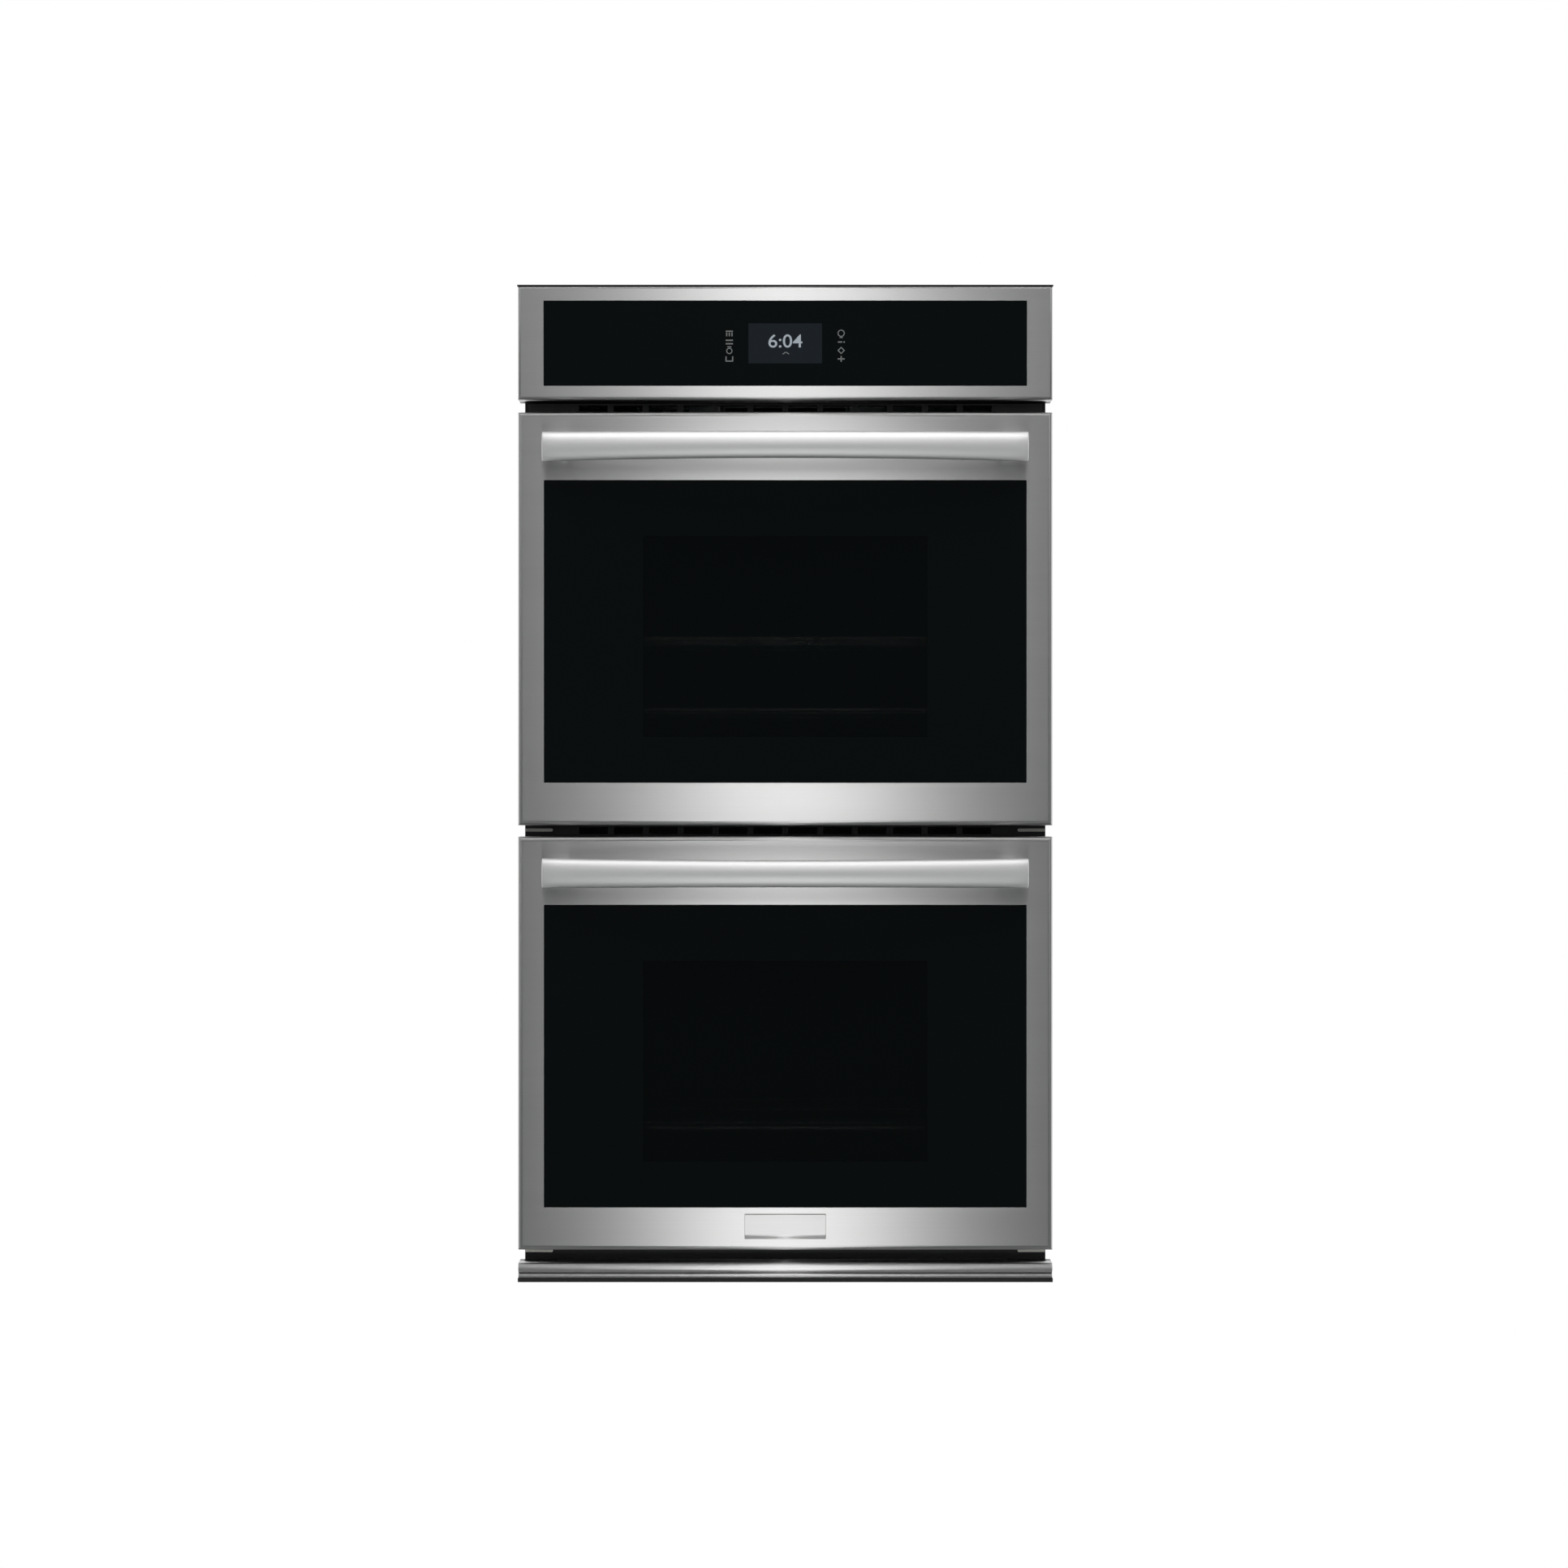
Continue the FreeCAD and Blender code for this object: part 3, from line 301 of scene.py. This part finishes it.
def finish_mesh(shape, name, material, body=None, smooth_angle=crease_angle):
    """Turns a bmesh into a piece, which rides on a body if one is named."""
    bmesh.ops.recalc_face_normals(shape, faces=shape.faces)
    mesh = bpy.data.meshes.new(name)
    shape.to_mesh(mesh)
    shape.free()
    soften(mesh, smooth_angle)
    piece = add_piece(name, mesh, material)
    if body:
        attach(piece, body)
    return piece


# Two long round-ended beads are pressed into each side to stiffen it.
bead_half_width = 0.007
bead_height = 0.0018
bead_reach_share = 0.41
bead_places = (0.3, 0.7)
bead_smooth_angle = 60
low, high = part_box("side_panels")
bead_reach = (high.z - low.z) * bead_reach_share
flatten = Matrix.Diagonal((bead_height / bead_half_width, 1, 1, 1))
shape = bmesh.new()
for x in (low.x, high.x):
    for share in bead_places:
        bead = bmesh.ops.create_uvsphere(shape, u_segments=24, v_segments=9,
                                         radius=bead_half_width)["verts"]
        for vert in bead:
            vert.co.z += bead_reach if vert.co.z > 0 else -bead_reach
        at = Matrix.Translation((x, low.y + (high.y - low.y) * share, (low.z + high.z) / 2))
        bmesh.ops.transform(shape, matrix=at @ flatten, verts=bead)
finish_mesh(shape, "side_beads", galvanised, "chassis", bead_smooth_angle)

merge_distance = 1e-6
edge_segments = 3
edge_angle = 40


def smooth_copy(name, material, body, bevel=0.0):
    """A merged, smooth-shaded copy of a CAD piece, which stands for it."""
    source = nodes[name]
    mesh = source.data.copy()
    mesh.name = name + "_finish"
    shape = bmesh.new()
    shape.from_mesh(mesh)
    bmesh.ops.remove_doubles(shape, verts=shape.verts, dist=merge_distance)
    shape.to_mesh(mesh)
    shape.free()
    if "custom_normal" in mesh.attributes:
        mesh.attributes.remove(mesh.attributes["custom_normal"])
    soften(mesh, crease_angle)
    piece = add_piece(name + "_finish", mesh, material)
    if bevel:
        edge = piece.modifiers.new("edge", "BEVEL")
        edge.width = bevel
        edge.segments = edge_segments
        edge.limit_method = "ANGLE"
        edge.angle_limit = math.radians(edge_angle)
    weigh = piece.modifiers.new("flats", "WEIGHTED_NORMAL")
    weigh.keep_sharp = True
    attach(piece, body)
    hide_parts(name)


def bright_zinc(recipe):
    cloud = recipe.noise(300.0, 2.0).pick("Fac")
    return {"Base Color": recipe.blend(cloud, rgb(0.58, 0.56, 0.50), rgb(0.74, 0.73, 0.68)),
            "Roughness": 0.26 + cloud * 0.12}


zinc_plate = principled("zinc_plate", {"Metallic": 1.0}, bright_zinc)
for name in ("casing_screws", "blower_motor", "fan_motors", "latch_motors"):
    smooth_copy(name, zinc_plate, "chassis")


# ---- Insulation
# Yellow glass wool blankets, wrapped around each oven box. They fill the space between the box
# and the casing.
def glass_wool(recipe):
    fibre = recipe.noise(180.0, 6.0, (1, 1, 3)).pick("Fac")
    return {"Base Color": recipe.blend(fibre, rgb(0.55, 0.47, 0.24), rgb(0.82, 0.75, 0.48)),
            "Normal": recipe.bump(fibre, 0.8, 0.003)}


dress(principled("glass_wool", {"Roughness": 1.0}, glass_wool), "cavity_insulation")


# ---- Oven boxes
# Pressed steel with dark blue porcelain enamel that is speckled with grey. The fan covers have
# the same enamel, and are screwed on in front of the fans.
def porcelain(recipe):
    at = recipe.place()
    dots = recipe.node("TexVoronoi", sockets={"Vector": at, "Scale": 420.0})
    size = recipe.noise(700.0, 1.0).pick("Fac")
    fleck = dots < size * 0.42
    return {"Base Color": recipe.blend(fleck, rgb(0.034, 0.039, 0.052), rgb(0.36, 0.38, 0.41)),
            "Roughness": 0.16 + fleck * 0.1,
            "Normal": recipe.bump(recipe.noise(60.0, 2.0).pick("Fac"), 0.12, 0.001)}


enamel = principled("speckled_enamel", {"Coat Weight": 0.4}, porcelain)
dress(enamel, "upper_cavity", "lower_cavity")
smooth_copy("fan_covers", enamel, "chassis")


# ---- Racks and guides
# Nickel-chrome plated wire, welded into grids, and ladders of the same wire that hang on the
# oven's side walls. The racks slide out on the ladders' rungs.
def chrome_plate(recipe):
    wear = recipe.noise(90.0, 3.0).pick("Fac")
    return {"Base Color": recipe.blend(wear, rgb(0.62, 0.61, 0.59), rgb(0.80, 0.79, 0.77)),
            "Roughness": 0.10 + wear * 0.14}


chrome_wire = principled("chrome_wire", {"Metallic": 1.0}, chrome_plate)
smooth_copy("rack_guides", chrome_wire, "chassis")
for rack in ("upper_rack_low", "upper_rack_high", "lower_rack"):
    smooth_copy(rack, chrome_wire, rack + "_body")


# ---- Heating elements
# Sheathed heaters with a dark oxide skin: one over the food, a hidden one under the floor and
# a ring around each fan.
def oxide_skin(recipe):
    cloud = recipe.noise(70.0, 4.0).pick("Fac")
    return {"Base Color": recipe.blend(cloud, rgb(0.035, 0.033, 0.032), rgb(0.11, 0.10, 0.095)),
            "Roughness": 0.42 + cloud * 0.25}


heater = principled("oxide_heater", {"Metallic": 0.4}, oxide_skin)
for name in ("broil_elements", "bake_elements", "convection_elements"):
    smooth_copy(name, heater, "chassis")


# ---- Fans
# Pressed aluminised steel fans on their motors' shafts, behind the covers, and the drum wheel of
# the cooling blower over the upper oven.
smooth_copy("upper_fan", galvanised, "upper_fan")
smooth_copy("lower_fan", galvanised, "lower_fan")
smooth_copy("blower_wheel", galvanised, "blower_rotor")


# ---- Oven lamps and sensors
# A frosted glass lens over each bulb, pushed into the oven's back wall, and a plated steel
# temperature probe in the same wall.
def frosted(recipe):
    cloud = recipe.noise(240.0, 2.0).pick("Fac")
    return {"Base Color": recipe.blend(cloud, rgb(0.74, 0.78, 0.78), rgb(0.86, 0.88, 0.86)),
            "Roughness": 0.22 + cloud * 0.2}


frosted_glass = principled("frosted_glass", {"IOR": 1.5}, frosted)
smooth_copy("oven_lamps", frosted_glass, "chassis")
smooth_copy("oven_sensors", zinc_plate, "chassis")


# ---- Front frame
# Enamelled steel sheet, near black, that closes the gap around the ovens behind the doors. The
# louvre over the upper door and the strips above and below the front are black moulded plastic.
def black_enamel_skin(recipe):
    peel = recipe.noise(220.0, 2.0).pick("Fac")
    return {"Base Color": recipe.blend(peel, rgb(0.010, 0.010, 0.011), rgb(0.018, 0.018, 0.020)),
            "Roughness": 0.30 + peel * 0.1,
            "Normal": recipe.bump(peel, 0.06, 0.0006)}


black_enamel = principled("black_enamel", {}, black_enamel_skin)
dress(black_enamel, "oven_frame", "panel_frame")


def moulded(recipe):
    grain = recipe.noise(900.0, 2.0).pick("Fac")
    return {"Base Color": recipe.blend(grain, rgb(0.012, 0.012, 0.012), rgb(0.022, 0.022, 0.022)),
            "Roughness": 0.52 + grain * 0.14,
            "Normal": recipe.bump(grain, 0.15, 0.0003)}


black_plastic = principled("black_plastic", {}, moulded)
smooth_copy("vent_trims", black_plastic, "chassis", bevel=0.0005)


# ---- Door gaskets
# Braided glass-fibre tube over a wire core, clipped to the front frame around each oven mouth,
# where the closed door's liner presses on it.
def braid(recipe):
    turned = recipe.node("Mapping", sockets={"Vector": recipe.place(),
                                             "Rotation": (0, math.radians(45), 0)})
    weave = recipe.node("TexChecker", sockets={"Vector": turned, "Scale": 500.0}).pick("Fac")
    return {"Base Color": recipe.blend(weave, rgb(0.035, 0.035, 0.036), rgb(0.12, 0.12, 0.12)),
            "Normal": recipe.bump(weave, 0.5, 0.0006)}


braided = principled("braided_gasket", {"Roughness": 0.85}, braid)
smooth_copy("door_gaskets", braided, "chassis", bevel=0.0025)


# ---- Hinges and latches
# Zinc plated steel: receivers in the frame with bright lips, arms with the hinge pins, and the
# latch hooks. Each spring is a coil of oiled wire around its rod. The lamp switches and their
# plungers are white plastic.
smooth_copy("hinge_receivers", zinc_plate, "chassis")
smooth_copy("hinge_arms", zinc_plate, "chassis")
for side in ("upper", "lower"):
    smooth_copy(side + "_latch_hook", zinc_plate, side + "_latch")


def oiled_wire(recipe):
    cloud = recipe.noise(150.0, 2.0).pick("Fac")
    return {"Base Color": recipe.blend(cloud, rgb(0.16, 0.155, 0.15), rgb(0.27, 0.26, 0.25)),
            "Roughness": 0.28 + cloud * 0.14}


spring_steel = principled("spring_steel", {"Metallic": 1.0}, oiled_wire)
wire_radius = 0.0011
wire_sides = 8
coil_turns = 20
coil_steps = coil_turns * 18
for side in ("upper", "lower"):
    low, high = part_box(side + "_hinge_springs")
    outer_radius = (high.y - low.y) / 2
    middle_y = (low.y + high.y) / 2
    rise = high.z - low.z - 2 * wire_radius
    shape = bmesh.new()
    for x in (low.x + outer_radius, high.x - outer_radius):
        start = Matrix.Translation((x + outer_radius - wire_radius, middle_y, low.z + wire_radius))
        wire = bmesh.ops.create_circle(shape, segments=wire_sides, radius=wire_radius,
                                       matrix=start @ Matrix.Rotation(math.pi / 2, 4, "X"))["verts"]
        ring = list({e for v in wire for e in v.link_edges})
        bmesh.ops.spin(shape, geom=wire + ring, cent=(x, middle_y, low.z), axis=(0, 0, 1),
                       dvec=(0, 0, rise / coil_steps), angle=coil_turns * 2 * math.pi,
                       steps=coil_steps)
    bmesh.ops.holes_fill(shape, edges=[e for e in shape.edges if e.is_boundary], sides=0)
    coils = finish_mesh(shape, side + "_spring_coils", spring_steel)
    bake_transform(coils)
    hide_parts(side + "_hinge_springs")


def white_moulding(recipe):
    grain = recipe.noise(500.0, 2.0).pick("Fac")
    return {"Base Color": recipe.blend(grain, rgb(0.72, 0.71, 0.67), rgb(0.80, 0.79, 0.76)),
            "Roughness": 0.4 + grain * 0.1}


white_plastic = principled("white_plastic", {}, white_moulding)
smooth_copy("light_switches", white_plastic, "chassis")
for side in ("upper", "lower"):
    smooth_copy(side + "_switch_plunger", white_plastic, side + "_plunger")


# ---- Door skins, panel and trim
# Stainless sheet, folded at the edges and brushed from side to side. The grain is fine and long,
# and it spreads a light up and down the sheet but hardly across it. The bottom trim is rolled.
def side_brushed(recipe):
    fine = recipe.noise(1.0, 3.0, (3.0, 900.0, 900.0)).pick("Fac")
    broad = recipe.noise(1.0, 2.0, (1.2, 90.0, 90.0)).pick("Fac")
    grain = fine * 0.7 + broad * 0.3
    return {"Base Color": recipe.blend(grain, rgb(0.44, 0.44, 0.437), rgb(0.50, 0.50, 0.497)),
            "Roughness": 0.315 + grain * 0.09,
            "Normal": recipe.bump(fine, 0.05, 0.0002)}


brushed_gloss = {"Metallic": 1.0, "Anisotropic": 1.0, "Anisotropic Rotation": 0.25}
brushed_steel = principled("brushed_steel", brushed_gloss, side_brushed)
smooth_copy("control_bezel", brushed_steel, "chassis", bevel=0.0004)
for side in ("upper", "lower"):
    smooth_copy(side + "_door_skin", brushed_steel, side + "_door", bevel=0.0003)


def rolled_steel(recipe):
    values = side_brushed(recipe)
    grain = recipe.noise(1.0, 2.0, (2.0, 500.0, 500.0)).pick("Fac")
    values["Base Color"] = recipe.blend(grain, rgb(0.47, 0.47, 0.467), rgb(0.53, 0.53, 0.527))
    return values


trim_steel = principled("rolled_trim_steel", brushed_gloss, rolled_steel)
smooth_copy("bottom_trim", trim_steel, "chassis", bevel=0.0003)


# ---- Glass
# The outer panes and the control panel are black backed glass. The outer panes are only tinted
# over the oven window, so the window, the racks and the enamel show faintly. Behind them are
# the liners, with the inner panes, and the hinge channels and rods.
def black_pane(recipe):
    cloud = recipe.noise(3.0, 2.0).pick("Fac")
    return {"Base Color": recipe.blend(cloud, rgb(0.0030, 0.0045, 0.0045),
                                       rgb(0.0040, 0.0058, 0.0058)),
            "Roughness": 0.02 + cloud * 0.01}


def over_piece(recipe, name, border):
    """1 on the part of a pane that lies over a piece, less a border."""
    low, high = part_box(name)
    at = recipe.node("SeparateXYZ", sockets={0: recipe.place()})
    across = (at.pick("X") - (low.x + high.x) / 2).size() < (high.x - low.x) / 2 - border
    upright = (at.pick("Z") - (low.z + high.z) / 2).size() < (high.z - low.z) / 2 - border
    return across * upright


screen_border = 0.005
window_border = 0.010
window_clearness = 0.35


def panel_pane(recipe):
    """Black pane with the faint glow of the display behind it."""
    values = black_pane(recipe)
    values["Emission Color"] = recipe.blend(over_piece(recipe, "display_screen", screen_border),
                                            rgb(0, 0, 0), rgb(0.0085, 0.0105, 0.0145))
    return values


panel_glass = principled("panel_glass", {"IOR": 1.45, "Emission Strength": 1.0}, panel_pane)
dress(panel_glass, "control_glass")


def tinted_pane(side):
    """Black pane, clear over the door's inner window."""
    def mix(recipe):
        window = over_piece(recipe, side + "_inner_glass", window_border)
        values = black_pane(recipe)
        values["Alpha"] = 1.0 - window * window_clearness
        return values

    return principled(side + "_tinted_glass", {"IOR": 1.45}, mix)


def clear_pane(recipe):
    cloud = recipe.noise(3.0, 2.0).pick("Fac")
    return {"Base Color": recipe.blend(cloud, rgb(0.02, 0.03, 0.03), rgb(0.03, 0.04, 0.04)),
            "Roughness": 0.03 + cloud * 0.01,
            "Alpha": 0.30 + cloud * 0.02}


clear_glass = principled("clear_glass", {"IOR": 1.45}, clear_pane)
for side in ("upper", "lower"):
    dress(tinted_pane(side), side + "_door_glass")
    dress(clear_glass, side + "_inner_glass")
    dress(enamel, side + "_door_liner")
    smooth_copy(side + "_hinge_channels", zinc_plate, side + "_door")
    smooth_copy(side + "_hinge_rods", zinc_plate, side + "_rods")


# ---- Handles
# Satin stainless bars, bowed away from the door and taller at their ends. Each stands on two
# short posts, which are screwed on through the door's skin.
def satin(recipe):
    grain = recipe.noise(1.0, 3.0, (8.0, 1200.0, 1200.0)).pick("Fac")
    return {"Base Color": recipe.blend(grain, rgb(0.86, 0.86, 0.855), rgb(0.92, 0.92, 0.915)),
            "Roughness": 0.48 + grain * 0.08}


satin_steel = principled("satin_steel", {"Metallic": 1.0}, satin)
end_height = 0.038
middle_height = 0.0345
bar_thickness = 0.019
end_reach = 0.030
front_space = 0.0001
middle_reach = door_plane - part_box("upper_handle")[0].y - front_space
rim_rounding = 0.0014
post_inset = 0.021
post_width = 0.028
post_height = 0.026
post_rounding = 0.005
shortest_upright = 0.001
stations = 40
handle_smooth_angle = 50


def bowed(middle, end, share):
    """A measure of the bar at a share of its half length from the middle."""
    return middle + (end - middle) * share ** 2


for side in ("upper", "lower"):
    low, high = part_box(side + "_handle")
    half_length = (high.x - low.x) / 2
    axis_z = (low.z + high.z) / 2
    shape = bmesh.new()
    ring = bmesh.ops.create_circle(shape, segments=48, radius=0.5,
                                   matrix=Matrix.Rotation(math.pi / 2, 4, "Y"))["verts"]
    edges = list({e for v in ring for e in v.link_edges})
    places = [-1 + 2 * i / stations for i in range(stations + 1)]
    last = Matrix.Identity(4)
    for i, share in enumerate(places):
        height = bowed(middle_height, end_height, share)
        centre_y = door_plane - bowed(middle_reach, end_reach, share) + bar_thickness / 2
        here = (Matrix.Translation((share * half_length, centre_y, axis_z))
                @ Matrix.Diagonal((1, bar_thickness, height, 1)))
        if i:
            grown = bmesh.ops.extrude_edge_only(shape, edges=edges)["geom"]
            ring = [g for g in grown if isinstance(g, bmesh.types.BMVert)]
            edges = [g for g in grown if isinstance(g, bmesh.types.BMEdge)]
        bmesh.ops.transform(shape, matrix=here @ last.inverted(), verts=ring)
        last = here
    bmesh.ops.holes_fill(shape, edges=[e for e in shape.edges if e.is_boundary], sides=0)
    rims = [e for e in shape.edges if any(len(f.verts) > 4 for f in e.link_faces)]
    bmesh.ops.bevel(shape, geom=rims, offset=rim_rounding, segments=3, profile=0.5,
                    affect="EDGES", material=-1)
    post_x = half_length - post_inset
    reach = bowed(middle_reach, end_reach, post_x / half_length)
    front = door_plane - reach + bar_thickness / 2
    for x in (-post_x, post_x):
        at = Matrix.Translation((x, (front + door_plane) / 2, axis_z))
        size = Matrix.Diagonal((post_width, door_plane - front, post_height, 1))
        post = bmesh.ops.create_cube(shape, size=1.0, matrix=at @ size)["verts"]
        corners = [e for e in {e for v in post for e in v.link_edges}
                   if abs(e.verts[0].co.y - e.verts[1].co.y) > shortest_upright]
        bmesh.ops.bevel(shape, geom=corners, offset=post_rounding, segments=4, profile=0.5,
                        affect="EDGES", material=-1)
    bar = finish_mesh(shape, side + "_handle_bar", satin_steel, side + "_door", handle_smooth_angle)
    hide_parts(side + "_handle")


# ---- Badge plate
# A bare plate of brushed steel, stuck on the lower door's bottom rail. Its lower edge falls away
# in a slope that stays darker than the rest.
def plate_satin(recipe):
    values = side_brushed(recipe)
    cloud = recipe.noise(1.0, 2.0, (6.0, 700.0, 700.0)).pick("Fac")
    values["Base Color"] = recipe.blend(cloud, rgb(0.40, 0.40, 0.397), rgb(0.44, 0.44, 0.437))
    return values


plate_steel = principled("plate_steel", brushed_gloss, plate_satin)
low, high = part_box("badge_plate")
slope_height = 0.0055
slope_depth = (high.y - low.y) * 0.75
badge_rounding = 0.0003
badge_smooth_angle = 10
outline = [(high.y, low.z), (high.y, high.z), (low.y, high.z), (low.y, low.z + slope_height),
           (low.y + slope_depth, low.z)]
shape = bmesh.new()
profile_face = shape.faces.new([shape.verts.new((low.x, y, z)) for y, z in outline])
grown = bmesh.ops.extrude_face_region(shape, geom=[profile_face])["geom"]
bmesh.ops.translate(shape, verts=[g for g in grown if isinstance(g, bmesh.types.BMVert)],
                    vec=(high.x - low.x, 0, 0))
bmesh.ops.bevel(shape, geom=shape.edges[:], offset=badge_rounding, segments=2, profile=0.5,
                affect="EDGES", material=-1)
badge = finish_mesh(shape, "badge_plate_finish", plate_steel, "lower_door", badge_smooth_angle)
badge.modifiers.new("flats", "WEIGHTED_NORMAL").keep_sharp = True
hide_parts("badge_plate")


# ---- Display and boards
# The display module and the green boards behind the control glass and on the upper deck. The
# clock and the touch marks are lit from behind the glass.
def solder_mask(recipe):
    traces = recipe.node("TexBrick", sockets={
        "Vector": recipe.place(), "Scale": 90.0, "Color1": rgb(0.01, 0.10, 0.04),
        "Color2": rgb(0.015, 0.14, 0.055), "Mortar": rgb(0.05, 0.22, 0.09)})
    return {"Base Color": traces, "Roughness": 0.3 + recipe.noise(200.0).pick("Fac") * 0.1}


dress(principled("circuit_board", {}, solder_mask), "control_boards")
dress(black_plastic, "display_screen")


# The clock's digits and two columns of touch marks, lit grey from behind the panel's glass.
def lit_print(recipe, low, high):
    cloud = recipe.noise(400.0, 2.0).pick("Fac")
    return {"Base Color": recipe.blend(cloud, rgb(0.01, 0.01, 0.01), rgb(0.02, 0.02, 0.02)),
            "Emission Color": recipe.blend(cloud, low, high)}


def clock_print(recipe):
    return lit_print(recipe, rgb(0.24, 0.28, 0.31), rgb(0.36, 0.41, 0.45))


def mark_print(recipe):
    return lit_print(recipe, rgb(0.085, 0.09, 0.09), rgb(0.15, 0.16, 0.16))


digit_light = principled("clock_light", {"Emission Strength": 1.0}, clock_print)
mark_light = principled("mark_light", {"Emission Strength": 1.0}, mark_print)

print_thickness = 0.0001
print_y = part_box("control_glass")[0].y - print_thickness
screen_low, screen_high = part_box("display_screen")
screen_z = (screen_low.z + screen_high.z) / 2
digits_rise = 0.002
digits_widening = 1.1
writing = bpy.data.curves.new("clock_digits", "FONT")
writing.body = "6:04"
writing.size = 0.0238
writing.align_x = "CENTER"
writing.align_y = "CENTER"
writing.offset = 0.0001
holder = bpy.data.objects.new("clock_digits_curve", writing)
scene.collection.objects.link(holder)
digits_mesh = bpy.data.meshes.new_from_object(holder)
bpy.data.objects.remove(holder)
digits_mesh.name = "clock_digits"
digits_mesh.transform(Matrix.Translation((0.0, print_y, screen_z + digits_rise))
                      @ Matrix.Rotation(math.pi / 2, 4, "X")
                      @ Matrix.Diagonal((digits_widening, 1, 1, 1)))
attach(add_piece("clock_digits", digits_mesh, digit_light), "chassis")

marks = bmesh.new()
ring_stroke = 0.0012
ring_sides = 24
diamond_sides = 4


def bar_mark(x, z, width, height, turn=0.0):
    """A flat bar on the glass."""
    bmesh.ops.create_grid(marks, x_segments=1, y_segments=1, size=0.5, matrix=(
        Matrix.Translation((x, print_y, z)) @ Matrix.Rotation(turn, 4, "Y")
        @ Matrix.Rotation(math.pi / 2, 4, "X") @ Matrix.Diagonal((width, height, 1, 1))))


def ring_mark(x, z, radius, sides):
    """A ring, or a diamond of four sides."""
    ring = bmesh.ops.create_circle(marks, cap_ends=True, segments=sides, radius=radius, matrix=(
        Matrix.Translation((x, print_y, z)) @ Matrix.Rotation(math.pi / 2, 4, "X")))["verts"]
    disc = list(ring[0].link_faces)
    bmesh.ops.inset_individual(marks, faces=disc, thickness=ring_stroke, use_even_offset=True)
    bmesh.ops.delete(marks, geom=disc, context="FACES")


column_x = 0.0715
row_pitch = 0.0108
top_row = screen_z + 0.0125
rows = [top_row - row * row_pitch for row in range(4)]

# The left column: a comb, two bars, a ring under a bar, and a tray.
for step in (-0.0034, 0.0, 0.0034):
    bar_mark(-column_x + step, rows[0] - 0.001, 0.0015, 0.0050)
bar_mark(-column_x, rows[0] + 0.0030, 0.0092, 0.0015)
for step in (-0.0022, 0.0022):
    bar_mark(-column_x, rows[1] + step, 0.0092, 0.0017)
ring_mark(-column_x, rows[2] - 0.0006, 0.0040, ring_sides)
bar_mark(-column_x, rows[2] + 0.0046, 0.0052, 0.0014)
for step in (-0.0042, 0.0042):
    bar_mark(-column_x + step, rows[3], 0.0015, 0.0066)
bar_mark(-column_x, rows[3] - 0.0028, 0.0092, 0.0015)

# The right column: a ring over a bar, a bar and a dot, a diamond, and a cross.
ring_mark(column_x, rows[0] + 0.0004, 0.0046, ring_sides)
bar_mark(column_x, rows[0] - 0.0050, 0.0040, 0.0014)
bar_mark(column_x - 0.0014, rows[1], 0.0056, 0.0017)
bar_mark(column_x + 0.0038, rows[1], 0.0018, 0.0018)
ring_mark(column_x, rows[2], 0.0048, diamond_sides)
bar_mark(column_x, rows[3], 0.0090, 0.0016)
bar_mark(column_x, rows[3], 0.0016, 0.0072)

# A small arc of two sloping bars under the clock.
arc_x = 0.0008
arc_z = screen_z - 0.0125
for step, turn in ((-0.0022, -0.6), (0.0022, 0.6)):
    bar_mark(arc_x + step, arc_z, 0.0046, 0.0012, turn)
marks_mesh = bpy.data.meshes.new("touch_marks")
marks.to_mesh(marks_mesh)
marks.free()
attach(add_piece("touch_marks", marks_mesh, mark_light), "chassis")
